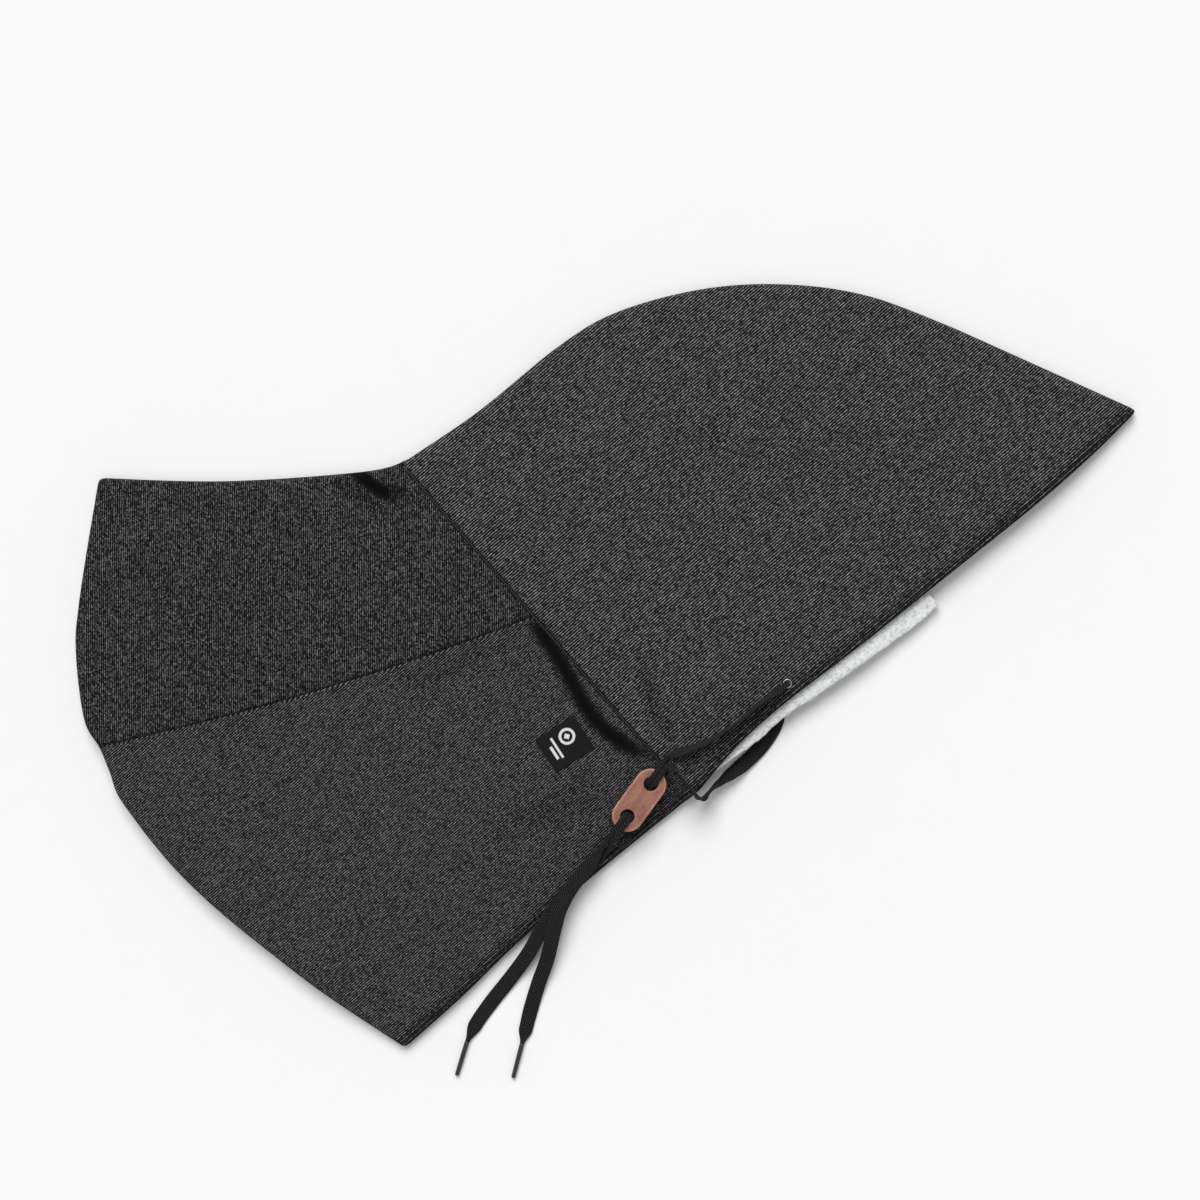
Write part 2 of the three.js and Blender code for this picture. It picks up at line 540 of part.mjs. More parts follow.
for (const [side, rows] of Object.entries(tails)) {
  add(`lace_tail_${side}`, laceSolid(rows, 32), finishes.lace, cord);
  const [endX, endY] = rows.at(-1);
  const aglet = new THREE.CylinderGeometry(agletAcross / 2, 0.9 * agletAcross / 2, agletLength, 12)
    .rotateZ(Math.PI / 2).translate(agletLength / 2 + gap, 0, 0);
  const tag = add(`aglet_${side}`, aglet, finishes.film, cord);
  tag.position.set(endX, endY, agletAcross / 2 + 0.1);
  tag.rotation.z = agletTurns[side];
}

// The origin is on the table, under the middle of the garment without its cord.
const part = new THREE.Group();
const middle = new THREE.Box3().setFromObject(garment).getCenter(new THREE.Vector3());
for (const group of [garment, cord]) {
  group.position.set(-middle.x, -middle.y, 0);
  part.add(group);
}

export default part;
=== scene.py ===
import math

import bpy
import numpy as np
from mathutils import Matrix, Vector, noise
from mathutils.bvhtree import BVHTree
from mathutils.geometry import delaunay_2d_cdt


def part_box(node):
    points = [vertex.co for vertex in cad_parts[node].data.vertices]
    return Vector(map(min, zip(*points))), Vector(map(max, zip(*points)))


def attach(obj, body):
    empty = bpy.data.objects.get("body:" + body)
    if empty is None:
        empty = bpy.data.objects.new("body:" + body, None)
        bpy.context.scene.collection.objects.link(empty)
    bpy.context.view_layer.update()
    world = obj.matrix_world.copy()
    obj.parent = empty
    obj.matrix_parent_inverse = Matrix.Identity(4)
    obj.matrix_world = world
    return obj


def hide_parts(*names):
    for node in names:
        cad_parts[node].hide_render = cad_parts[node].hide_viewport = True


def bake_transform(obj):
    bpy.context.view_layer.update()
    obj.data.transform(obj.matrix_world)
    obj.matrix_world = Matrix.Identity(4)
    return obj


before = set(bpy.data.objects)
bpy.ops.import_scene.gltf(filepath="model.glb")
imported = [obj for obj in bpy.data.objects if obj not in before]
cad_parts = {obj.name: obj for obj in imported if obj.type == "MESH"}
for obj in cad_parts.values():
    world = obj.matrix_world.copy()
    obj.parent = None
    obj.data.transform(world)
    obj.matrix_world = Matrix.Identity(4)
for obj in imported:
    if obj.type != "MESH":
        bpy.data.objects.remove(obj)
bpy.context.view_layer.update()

# Metres throughout. Patterns are laid out from the throat, with X up the face opening and Y to the back
# of the head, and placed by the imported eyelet.

hood = {
    "height": 0.347,
    "depth": 0.264,
    "casingWidth": 0.024,
}
yoke = {
    "length": 0.234,
    "depth": 0.376,
    "neckX": -0.007,
    "shoulderRise": 0.141,
}
cloth = {
    "ply": 0.0035,          # jersey and its fleece together
    "casing": 0.004,        # folded casing with its tunnel
    "closedAir": 0.0014,
    "openAir": 0.008,
    "maskRoom": 0.0042,
    "laceRoom": 0.0038,
    "edgeEase": 0.07,
    "mouthEase": 0.045,
    "mouthDrop": 0.3,
    "closedRoll": 0.0056,   # how far in a closed edge stays round
    "rimRoll": 0.0021,
}


def splineLine(points, steps):
    points = np.array(points, float)
    last = len(points) - 1
    found = []
    for i in range(steps + 1):
        place = last * i / steps
        k = min(int(place), last - 1)
        w = place - k
        p0 = points[max(k - 1, 0)]
        p1 = points[k]
        p2 = points[k + 1]
        p3 = points[min(k + 2, last)]
        v0 = (p2 - p0) / 2
        v1 = (p3 - p1) / 2
        cubic = (2 * p1 - 2 * p2 + v0 + v1) * w ** 3
        square = (-3 * p1 + 3 * p2 - 2 * v0 - v1) * w ** 2
        found.append(cubic + square + v0 * w + p1)
    return np.array(found)


def hoodPoint(along, across):
    return (along * hood["height"], across * hood["depth"])


def yokePoint(along, across):
    return (-along * yoke["length"], across * yoke["depth"])


nape = (-0.001, hood["depth"] - 0.0015)
tip = (hood["height"] + 0.0005, -0.0025)
throat = (-0.002, -0.002)
frontCorner = (-yoke["length"] - 0.0015, -0.003)
backCorner = (-0.64 * yoke["length"], yoke["depth"])
shoulderNotch = yokePoint(1.09, 0.673)

crownLine = np.vstack([
    splineLine([
        nape, hoodPoint(0.14, 0.972), hoodPoint(0.32, 0.964), hoodPoint(0.435, 0.935),
        hoodPoint(0.571, 0.848), hoodPoint(0.686, 0.731), hoodPoint(0.781, 0.587), hoodPoint(0.856, 0.405),
    ], 130),
    [tip],
])
faceLine = splineLine([
    tip, hoodPoint(0.9, -0.0185), hoodPoint(0.76, -0.0195), hoodPoint(0.57, -0.0095), hoodPoint(0.39, 0.0),
    hoodPoint(0.21, 0.015), hoodPoint(0.1, 0.013), throat,
], 105)
frontLine = splineLine([
    throat, (-0.35 * yoke["length"], 0.0008), (-0.62 * yoke["length"], 0.0002),
    (-0.8 * yoke["length"], -0.0022), frontCorner,
], 64)
hemLine = splineLine([
    frontCorner, yokePoint(1.085, 0.184), yokePoint(1.145, 0.412), yokePoint(1.139, 0.578),
    yokePoint(1.112, 0.632), shoulderNotch, yokePoint(1.073, 0.723), yokePoint(0.976, 0.813),
    yokePoint(0.885, 0.87), backCorner,
], 144)
backLine = splineLine([
    backCorner, (-0.397 * yoke["length"], yoke["depth"] - 0.052),
    (-0.107 * yoke["length"], hood["depth"] + 0.009), nape,
], 64)


def shoulderCurve(steps):
    start = np.array((yoke["neckX"], yoke["shoulderRise"]))
    end = np.array(shoulderNotch)
    sag = (start + end) / 2 - (0, 0.012)
    t = np.linspace(0, 1, steps + 1)[:, None]
    return start * (1 - t) ** 2 + 2 * sag * t * (1 - t) + end * t ** 2


shoulderLine = shoulderCurve(60)
shoulderReach = np.vstack([
    [(yoke["neckX"] + 0.04, yoke["shoulderRise"] - 0.016)],
    shoulderLine,
    [(shoulderNotch[0] - 0.06, shoulderNotch[1] + 0.03)],
])


def evenLine(line, pitch):
    steps = np.linalg.norm(np.diff(line, axis=0), axis=1)
    run = np.concatenate([[0], np.cumsum(steps)])
    count = max(2, int(round(run[-1] / pitch)) + 1)
    wanted = np.linspace(0, run[-1], count)
    return np.stack([np.interp(wanted, run, line[:, k]) for k in range(line.shape[1])], axis=1)


def awayFrom(line, spots):
    nearest = np.full(len(spots), np.inf)
    for a, b in zip(line[:-1], line[1:]):
        span = b - a
        reach = float(span @ span) or 1e-12
        share = np.clip(((spots - a) @ span) / reach, 0, 1)
        gap = spots - a - share[:, None] * span
        nearest = np.minimum(nearest, np.hypot(gap[:, 0], gap[:, 1]))
    return nearest


def softLoop(pitch, soften):
    fine = 0.0008
    closed = np.vstack([line[:-1] for line in (crownLine, faceLine, frontLine, hemLine, backLine)])
    closed = np.vstack([closed, closed[:1]])
    loop = evenLine(closed, fine)[:-1]
    reach = int(3 * soften / fine)
    weights = np.exp(-0.5 * (np.arange(-reach, reach + 1) * fine / soften) ** 2)
    weights /= weights.sum()
    rounded = sum(w * np.roll(loop, k, axis=0) for w, k in zip(weights, range(-reach, reach + 1)))
    return rounded[::max(1, int(round(pitch / fine)))]


outline = softLoop(0.0024, 0.0017)
closedEdges = [crownLine, frontLine, backLine]
openEdges = [faceLine, hemLine]


def splitOutline():
    loop = np.vstack([outline, outline[:1]])
    middles = (loop[:-1] + loop[1:]) / 2
    closedAway = np.min([awayFrom(line, middles) for line in closedEdges], axis=0)
    openAway = np.min([awayFrom(line, middles) for line in openEdges], axis=0)
    sides = {"closed": [], "open": []}
    for a, b, isOpen in zip(loop[:-1], loop[1:], openAway < closedAway):
        sides["open" if isOpen else "closed"].append((a, b))
    return sides


outlineSides = splitOutline()


def awayFromSides(kind, spots):
    nearest = np.full(len(spots), np.inf)
    for a, b in outlineSides[kind]:
        nearest = np.minimum(nearest, awayFrom(np.array([a, b]), spots))
    return nearest


def edgeGap(spots):
    return np.minimum(awayFromSides("closed", spots), awayFromSides("open", spots))


def faceEdgeY(x):
    return np.interp(x, faceLine[::-1, 0], faceLine[::-1, 1])


def insideOutline(spots):
    odd = np.zeros(len(spots), bool)
    for a, b in zip(outline, np.roll(outline, -1, axis=0)):
        spans = (a[1] > spots[:, 1]) != (b[1] > spots[:, 1])
        drop = (b[1] - a[1]) or 1e-12
        odd ^= spans & (spots[:, 0] < a[0] + (spots[:, 1] - a[1]) / drop * (b[0] - a[0]))
    return odd


def shoulderSide(spots):
    away = awayFrom(shoulderReach, spots)
    onLine = np.interp(spots[:, 0], shoulderReach[::-1, 0], shoulderReach[::-1, 1])
    return np.where(spots[:, 1] < onLine, away, -away)   # above 0 on the front panel


def eyeletMiddle(side):
    low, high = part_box("eyelet_" + side)
    return (low + high) / 2


eyeletX = 0.081
laceInset = 0.0085
eyeletY = float(faceEdgeY(eyeletX)) + laceInset
shift = np.array((eyeletMiddle("right").x - eyeletX, eyeletMiddle("right").y - eyeletY))


# Each fold's "shade" sets how dark its crease is painted: painted shade, not a dye.
folds = [
    {"line": [(-0.0085, 0.148), (-0.0125, 0.112), (-0.0198, 0.075), (-0.0172, 0.051), (-0.0095, 0.029)],
     "depth": 0.0042, "reach": 0.004, "ends": 0.024, "shade": 0.9},
    {"line": [(-0.0305, 0.283), (-0.0297, 0.273), (-0.0285, 0.2625), (-0.0245, 0.252)],
     "depth": 0.0046, "reach": 0.0027, "ends": 0.005, "shade": 1.9},
    {"line": [(-0.0215, 0.262), (-0.0185, 0.252), (-0.0155, 0.243)],
     "depth": 0.0012, "reach": 0.0022, "ends": 0.008, "shade": 0.4},
    {"line": [(-0.046, 0.283), (-0.036, 0.262), (-0.03, 0.246)],
     "depth": 0.001, "reach": 0.005, "ends": 0.02, "shade": 0.1},
    {"line": [(0.006, 0.022), (0.011, 0.052), (0.028, 0.086)],
     "depth": 0.0011, "reach": 0.0045, "ends": 0.03, "shade": 0.14},
    {"line": [(-0.02, 0.132), (-0.05, 0.146), (-0.1, 0.158)],
     "depth": 0.0007, "reach": 0.008, "ends": 0.03, "shade": 0.06},
    {"line": [(-0.03, 0.028), (-0.07, 0.046), (-0.12, 0.058)],
     "depth": 0.0007, "reach": 0.009, "ends": 0.03, "shade": 0.06},
    {"line": [(0.03, 0.235), (0.12, 0.2), (0.2, 0.15)],
     "depth": 0.0006, "reach": 0.016, "ends": 0.05, "shade": 0.0},
]
ripples = [
    {"along": 0.13, "across": 0.08, "rise": 0.0011},
    {"along": 0.05, "across": 0.033, "rise": 0.00055},
    {"along": 0.019, "across": 0.012, "rise": 0.00016},
]
seams = {
    "neckDrop": 0.0017,
    "neckReach": 0.0017,
    "shoulderStep": 0.0008,
    "casingDrop": 0.00032,
    "laceHump": 0.0003,
    "weltRise": 0.0016,
    "throatRise": 0.0019,
}
parting = {
    "start": -0.014,        # along the opening, where the two sides begin to part
    "full": -0.004,
    "maskFall": 0.215,
    "maskEnd": 0.275,
}
# Rolled edge ribs: rise lifts them in the cloth, shade sets the painted shade bands laid along them.
edgeRibs = {
    "pitch": 0.0027,
    "rise": 0.00022,
    "reach": 0.009,
    "fade": 0.011,
    "shade": 0.26,
}
throatWelt = {
    "middle": -0.0052,
    "reach": 0.0032,
    "end": 0.025,
    "rib": 0.0021,
    "ribShare": 0.11,
}


def ease(t):
    t = np.clip(t, 0, 1)
    return t * t * (3 - 2 * t)


def hump(v, rise, full, fall, end):
    return ease((v - rise) / (full - rise)) * ease((end - v) / (end - fall))


def roundOff(away, reach):
    t = np.clip(away / reach, 0, 1)
    return np.sqrt(np.clip(1 - (1 - t) ** 2, 0, 1))


def underHeight(spots):
    x, y = spots.T
    overLace = hump(x, parting["start"], parting["full"], eyeletX + 0.024, eyeletX + 0.09)
    return cloth["laceRoom"] * overLace * ease((0.075 - y) / 0.05)


def noiseField(spots, along, across, layer):
    return np.array([noise.noise(Vector((x / along, y / across, layer))) for x, y in spots])


def laceCalm(spots):
    x, y = spots.T
    dx = np.maximum(np.maximum(-0.13 - x, x - 0.086), 0)
    dy = np.maximum(np.maximum(-0.02 - y, y - 0.03), 0)
    return ease(np.hypot(dx, dy) / 0.04)


def foldShare(fold, spots):
    line = splineLine(fold["line"], 16)
    ends = np.minimum(*(np.hypot(*(spots - line[k]).T) for k in (0, -1)))
    return awayFrom(line, spots), ease(ends / fold["ends"])


def weltShare(spots):
    x, y = spots.T
    line = splineLine(folds[0]["line"], 40)
    groove = np.interp(y, line[::-1, 1], line[::-1, 0])
    across = np.clip((x - groove) / (yoke["neckX"] - groove), 0, 1)
    return np.sin(math.pi * across) ** 0.8 * hump(y, 0.026, 0.045, 0.09, 0.145)


def throatShare(spots):
    x, y = spots.T
    across = (x - throatWelt["middle"]) / throatWelt["reach"]
    return np.exp(-across ** 2) * ease((throatWelt["end"] - y) / 0.007)


def wrinkleRelief(spots):
    relief = np.zeros(len(spots))
    for i, ripple in enumerate(ripples):
        relief += ripple["rise"] * noiseField(spots, ripple["along"], ripple["across"], 3.7 + 5 * i)
    relief *= 0.2 + 0.8 * laceCalm(spots)
    for fold in folds:
        away, taper = foldShare(fold, spots)
        lip = (away - 2.1 * fold["reach"]) / fold["reach"]
        relief -= fold["depth"] * taper * np.exp(-(away / fold["reach"]) ** 2)
        relief += 0.22 * fold["depth"] * taper * np.exp(-lip ** 2)
    relief += seams["weltRise"] * weltShare(spots)
    ribs = 1 + throatWelt["ribShare"] * np.cos(2 * math.pi * spots[:, 1] / throatWelt["rib"])
    return relief + seams["throatRise"] * throatShare(spots) * ribs


# Painted shade: how far to darken the jersey's colour in the fold creases and along the neck and shoulder
# seam grooves.
def paintedCreaseShade(spots):
    x, y = spots.T
    shade = np.zeros(len(spots))
    for fold in folds:
        away, taper = foldShare(fold, spots)
        shade = np.maximum(shade, fold["shade"] * taper * np.exp(-(away / (0.9 * fold["reach"])) ** 2))
    neck = np.exp(-((x - yoke["neckX"]) / 0.0008) ** 2) * ease((y - 0.022) / 0.006)
    shoulder = np.exp(-((shoulderSide(spots) + 0.001) / 0.0012) ** 2) * (x < yoke["neckX"])
    return np.maximum(shade, np.maximum(0.9 * neck, 0.3 * shoulder))


def seamRelief(spots):
    x, y = spots.T
    neckAway = np.abs(x - yoke["neckX"])
    sewn = ease((y - 0.018) / 0.008)          # the throat end is turned over the seam
    relief = -seams["neckDrop"] * sewn * (1 - roundOff(neckAway, seams["neckReach"]))
    yokeSide = x < yoke["neckX"]
    relief -= np.where(yokeSide, 0.0006 * sewn * np.exp(-neckAway / 0.004), 0)
    shoulder = shoulderSide(spots)
    onYoke = ease((yoke["neckX"] + 0.002 - x) / 0.006)
    step = seams["shoulderStep"]
    front = step * np.exp(-np.abs(shoulder) / 0.007) - 1.5 * step * (1 - roundOff(shoulder, 0.0012))
    back = -0.7 * step * np.exp(-np.abs(shoulder) / 0.006)
    relief += onYoke * np.where(shoulder > 0, front, back)
    casing = y - faceEdgeY(x)
    onHood = ease((x - yoke["neckX"]) / 0.006)
    for line in (hood["casingWidth"], hood["casingWidth"] - 0.0028):
        relief -= seams["casingDrop"] * onHood * np.exp(-((casing - line) / 0.0007) ** 2)
    laceAway = (casing - laceInset) / 0.0036
    relief += seams["laceHump"] * ease((x - eyeletX) / 0.006) * np.exp(-laceAway ** 2)
    return relief


def rimGap(spots):
    return np.minimum(awayFrom(faceLine, spots), awayFrom(frontLine, spots))


def edgeRelief(spots):
    away = rimGap(spots)
    fade = np.exp(-(away / edgeRibs["reach"]) ** 2)
    return edgeRibs["rise"] * np.cos(2 * math.pi * away / edgeRibs["pitch"]) * fade


def clothHeights(spots):
    x, y = spots.T
    closedAway = awayFromSides("closed", spots)
    openAway = awayFromSides("open", spots)
    full = ease(closedAway / cloth["edgeEase"])
    mouth = 1 - ease(openAway / cloth["mouthEase"])
    maskSpan = hump(x, parting["start"], parting["full"], parting["maskFall"], parting["maskEnd"])
    mask = maskSpan * ease((0.15 - y) / 0.06)
    openRoom = cloth["closedAir"] + (cloth["openAir"] - cloth["closedAir"]) * full
    air = openRoom * (1 - cloth["mouthDrop"] * mouth) + cloth["maskRoom"] * mask * (1 - full)
    under = underHeight(spots)
    over = under + 2 * cloth["ply"] + air
    wrinkle = wrinkleRelief(spots)
    seam = seamRelief(spots)
    edge = edgeRelief(spots)
    middle = (over + under) / 2
    onCasing = (y - faceEdgeY(x) < hood["casingWidth"]) & (x > yoke["neckX"])
    thick = np.where(onCasing, cloth["casing"], cloth["ply"])
    closedShare = roundOff(closedAway, cloth["closedRoll"])
    rimShare = roundOff(openAway, cloth["rimRoll"])
    inFromRoll = ease(closedAway / 0.012)

    rightTop = middle + (over - middle + (wrinkle + seam) * inFromRoll + edge) * closedShare
    rightIn = np.maximum(rightTop - seam * inFromRoll - thick, middle + 0.0002)
    leftTop = middle - (middle - under - 0.45 * np.abs(seam + edge)) * closedShare
    leftIn = np.minimum(leftTop + thick, middle - 0.0002)
    rightRim = (rightTop + rightIn) / 2
    leftRim = (leftTop + leftIn) / 2
    return {
        "rightOuter": rightRim + (rightTop - rightRim) * rimShare,
        "rightInner": rightRim + (rightIn - rightRim) * rimShare,
        "leftOuter": leftRim + (leftTop - leftRim) * rimShare,
        "leftInner": leftRim + (leftIn - leftRim) * rimShare,
        # painted shade for the creases and seam grooves
        "paintedShade": paintedCreaseShade(spots),
        "rimAway": rimGap(spots),
    }


plan = {
    "pitch": 0.004,
    "finePitch": 0.0021,
    "edgeRows": (0.0003, 0.0008, 0.0014, 0.0022, 0.0032, 0.0044, 0.0058, 0.0076),
    "seamRows": (0.0005, 0.0011, 0.0018, 0.0028, 0.0044, 0.0064),
}


def stepAside(line, along, distance):
    along = along / np.linalg.norm(along, axis=1)[:, None]
    return line + distance * np.stack([along[:, 1], -along[:, 0]], axis=1)


def offsetLine(line, distance):
    ahead = np.vstack([line[1:], line[-1:]])
    behind = np.vstack([line[:1], line[:-1]])
    return stepAside(line, ahead - behind, distance)


def offsetLoop(distance):
    return stepAside(outline, np.roll(outline, -1, axis=0) - np.roll(outline, 1, axis=0), distance)


def seamCuts():
    neck = evenLine(np.array([(yoke["neckX"], -0.03), (yoke["neckX"], 0.3)]), 0.0026)
    shoulder = evenLine(shoulderReach[1:], 0.0026)
    xs = np.linspace(yoke["neckX"], hood["height"] + 0.01, 140)
    casing = np.stack([xs, faceEdgeY(xs) + hood["casingWidth"]], axis=1)
    return neck, shoulder, casing


def gridSpots(low, high, pitch):
    rows = []
    for j, y in enumerate(np.arange(low[1], high[1], pitch * 0.87)):
        xs = np.arange(low[0] + (j % 2) * pitch / 2, high[0], pitch)
        rows.append(np.stack([xs, np.full(len(xs), y)], axis=1))
    return np.vstack(rows)


def flatPlan():
    neck, shoulder, casing = seamCuts()
    rows = []
    for distance in plan["edgeRows"]:
        row = offsetLoop(distance)
        row = row[insideOutline(row)]
        rows.append(row[edgeGap(row) > 0.8 * distance])
    for distance in plan["seamRows"]:
        for side in (-1, 1):
            rows.append(offsetLine(neck, side * distance))
            rows.append(offsetLine(shoulder, side * distance))
            if distance < 0.003:
                rows.append(offsetLine(casing, side * distance))
    low = outline.min(0)
    high = outline.max(0)
    grid = gridSpots(low, high, plan["pitch"])
    fine = gridSpots((-0.05, 0.02), (-0.008, 0.3), plan["finePitch"])
    grid = np.vstack([grid, fine])
    grid = grid[insideOutline(grid)]
    keep = edgeGap(grid) > 0.009
    keep &= np.abs(grid[:, 0] - yoke["neckX"]) > 0.0074
    keep &= (np.abs(shoulderSide(grid)) > 0.0074) | (grid[:, 0] > yoke["neckX"])
    rows.append(grid[keep])
    rows.append(gridSpots((-0.016, -0.001), (0.005, 0.028), 0.0009))
    loose = np.vstack(rows)
    loose = loose[insideOutline(loose)]
    corners = [outline, neck, shoulder, casing, loose]
    starts = np.cumsum([0] + [len(c) for c in corners])
    edges = []
    for k in (1, 2, 3):
        edges += [(starts[k] + i, starts[k] + i + 1) for i in range(len(corners[k]) - 1)]
    face = list(range(len(outline)))[::-1]
    spots = [Vector(p) for p in np.vstack(corners)]
    made = delaunay_2d_cdt(spots, edges, [face], 1, 1e-6)
    return np.array([tuple(v) for v in made[0]]), np.array([list(f) for f in made[2] if len(f) == 3])


spots, facets = flatPlan()
print("flat plan:", len(spots), "points,", len(facets), "facets")
heights = clothHeights(spots)
middles = spots[facets].mean(axis=1)
corners = spots[facets]
turns = np.cross(corners[:, 1] - corners[:, 0], corners[:, 2] - corners[:, 0])
facets = np.where((turns > 0)[:, None], facets, facets[:, ::-1])


def zones():
    onHood = middles[:, 0] > yoke["neckX"]
    onCasing = onHood & (middles[:, 1] - faceEdgeY(middles[:, 0]) < hood["casingWidth"])
    onFront = shoulderSide(middles) > 0
    return {
        "hood": onHood & ~onCasing,
        "casing": onCasing,
        "yokeFront": ~onHood & onFront,
        "yokeBack": ~onHood & ~onFront,
        "yoke": ~onHood,
    }


zone = zones()
surface = BVHTree.FromPolygons(
    [Vector((x, y, z)) for (x, y), z in zip(spots, heights["rightOuter"])],
    [tuple(int(k) for k in f) for f in facets],
)


def topAt(x, y):
    hit = surface.ray_cast(Vector((x, y, 0.2)), Vector((0, 0, -1)))[0]
    if hit is None:
        hit = surface.find_nearest(Vector((x, y, 0.01)))[0]
    return hit.z


def placed(points):
    points = np.array(points, float).reshape(-1, 3)
    return points + (shift[0], shift[1], 0)


def newPiece(name, points, faces, material, smooth=True):
    mesh = bpy.data.meshes.new(name)
    mesh.from_pydata([tuple(p) for p in points], [], [tuple(int(k) for k in f) for f in faces])
    mesh.materials.append(material)
    mesh.polygons.foreach_set("use_smooth", [smooth] * len(mesh.polygons))
    mesh.update()
    piece = bpy.data.objects.new(name, mesh)
    bpy.context.scene.collection.objects.link(piece)
    return piece


def pointValues(piece, name, values):
    layer = piece.data.attributes.new(name, "FLOAT", "POINT")
    layer.data.foreach_set("value", np.array(values, dtype=np.float32))


def layUv(piece, pairs):
    layer = piece.data.uv_layers.new(name="lay")
    corners = [pairs[loop.vertex_index] for loop in piece.data.loops]
    layer.data.foreach_set("uv", np.array(corners, dtype=np.float32).ravel())


def settle(piece, node, body="root"):
    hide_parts(node)
    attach(piece, body)
    return piece


def clothPiece(name, zoneName, sheets, material):
    used = facets[zone[zoneName]]
    keep, renamed = np.unique(used, return_inverse=True)
    renamed = renamed.reshape(used.shape)
    points = []
    faces = []
    for sheetName, upward in sheets:
        start = len(points) * len(keep)
        points.append(np.column_stack([spots[keep], heights[sheetName][keep]]))
        faces.append((renamed if upward else renamed[:, ::-1]) + start)
    piece = newPiece(name, placed(np.vstack(points)), np.vstack(faces), material)
    pointValues(piece, "rimAway", np.tile(heights["rimAway"][keep], len(sheets)))
    # the painted crease shade rides on the cloth as a point value
    pointValues(piece, "paintedShade", np.tile(heights["paintedShade"][keep], len(sheets)))
    return piece


def addNode(tree, kind, **settings):
    node = tree.nodes.new("ShaderNode" + kind)
    for key, value in settings.items():
        setattr(node, key, value)
    return node


def feed(tree, socket, value):
    if isinstance(value, bpy.types.NodeSocket):
        tree.links.new(value, socket)
    else:
        socket.default_value = value


def mathNode(tree, operation, a, b=0.0, clamp=False):
    node = addNode(tree, "Math", operation=operation, use_clamp=clamp)
    feed(tree, node.inputs[0], a)
    feed(tree, node.inputs[1], b)
    return node.outputs[0]


def times(tree, a, b):
    return mathNode(tree, "MULTIPLY", a, b)


def plus(tree, a, b):
    return mathNode(tree, "ADD", a, b)


def minus(tree, a, b, clamp=False):
    return mathNode(tree, "SUBTRACT", a, b, clamp)


def weighted(tree, *parts):
    total = times(tree, *parts[0])
    for value, share in parts[1:]:
        total = plus(tree, total, times(tree, value, share))
    return total


def mapRange(tree, value, low, high, toLow=0.0, toHigh=1.0):
    node = addNode(tree, "MapRange", interpolation_type="SMOOTHSTEP")
    feed(tree, node.inputs["Value"], value)
    node.inputs["From Min"].default_value = low
    node.inputs["From Max"].default_value = high
    node.inputs["To Min"].default_value = toLow
    node.inputs["To Max"].default_value = toHigh
    return node.outputs["Result"]


def noiseNode(tree, vector, scale, detail=2.0, rough=0.5):
    node = addNode(tree, "TexNoise")
    feed(tree, node.inputs["Vector"], vector)
    node.inputs["Scale"].default_value = scale
    node.inputs["Detail"].default_value = detail
    node.inputs["Roughness"].default_value = rough
    return node.outputs["Fac"]


def stretched(tree, vector, stretch, turn=0.0):
    node = addNode(tree, "Mapping")
    feed(tree, node.inputs["Vector"], vector)
    node.inputs["Rotation"].default_value = (0, 0, turn)
    node.inputs["Scale"].default_value = stretch
    return node.outputs[0]


def waves(tree, value, pitch):
    turns = times(tree, value, 2 * math.pi / pitch)
    return mathNode(tree, "MULTIPLY_ADD", mathNode(tree, "SINE", turns), 0.5)


def newGroup(name, inputs, outputs):
    group = bpy.data.node_groups.new(name, "ShaderNodeTree")
    for label, kind in inputs:
        group.interface.new_socket(label, in_out="INPUT", socket_type=kind)
    for label, kind in outputs:
        group.interface.new_socket(label, in_out="OUTPUT", socket_type=kind)
    entry = group.nodes.new("NodeGroupInput")
    leave = group.nodes.new("NodeGroupOutput")
    return group, entry, leave


def useGroup(tree, group, **inputs):
    node = addNode(tree, "Group", node_tree=group)
    for label, value in inputs.items():
        feed(tree, node.inputs[label], value)
    return node


def rampNode(tree, value, stops):
    node = addNode(tree, "ValToRGB")
    feed(tree, node.inputs[0], value)
    ramp = node.color_ramp
    while len(ramp.elements) < len(stops):
        ramp.elements.new(0.5)
    for element, (place, colour) in zip(ramp.elements, stops):
        element.position = place
        element.color = (*colour, 1)
    return node.outputs["Color"]


def newMaterial(name):
    material = bpy.data.materials.new(name)
    material.use_nodes = True
    tree = material.node_tree
    shader = tree.nodes["Principled BSDF"]
    return material, tree, shader


def softFinish(shader, roughness, specular=0.5, sheen=0.0, sheenRoughness=0.5):
    shader.inputs["Roughness"].default_value = roughness
    shader.inputs["Specular IOR Level"].default_value = specular
    shader.inputs["Sheen Weight"].default_value = sheen
    shader.inputs["Sheen Roughness"].default_value = sheenRoughness


def colourBy(tree, shader, tone, stops):
    tree.links.new(rampNode(tree, tone, stops), shader.inputs["Base Color"])


def bumpTo(tree, shader, height, strength, distance):
    bump = addNode(tree, "Bump")
    bump.inputs["Strength"].default_value = strength
    bump.inputs["Distance"].default_value = distance
    feed(tree, bump.inputs["Height"], height)
    tree.links.new(bump.outputs[0], shader.inputs["Normal"])


def pieceCoords(tree):
    return addNode(tree, "TexCoord").outputs["Object"]


def uvCoords(tree):
    return addNode(tree, "TexCoord").outputs["UV"]


def splitXyz(tree, vector):
    node = addNode(tree, "SeparateXYZ")
    tree.links.new(vector, node.inputs[0])
    return node.outputs


def pointValue(tree, name):
    return addNode(tree, "Attribute", attribute_name=name).outputs["Fac"]


knit = {
    "wale": 0.0013,        # across the ribs
    "stitch": 0.001,       # along them
    "wander": 0.00012,
    "fibre": 1400.0,
    "yarnShare": 0.72,
    "fibreShare": 0.34,
    "cloudShare": 0.05,
    "ribShare": 1.08,
    # how strongly the painted crease shade darkens the colour
    "paintedShadeShare": 0.6,
}


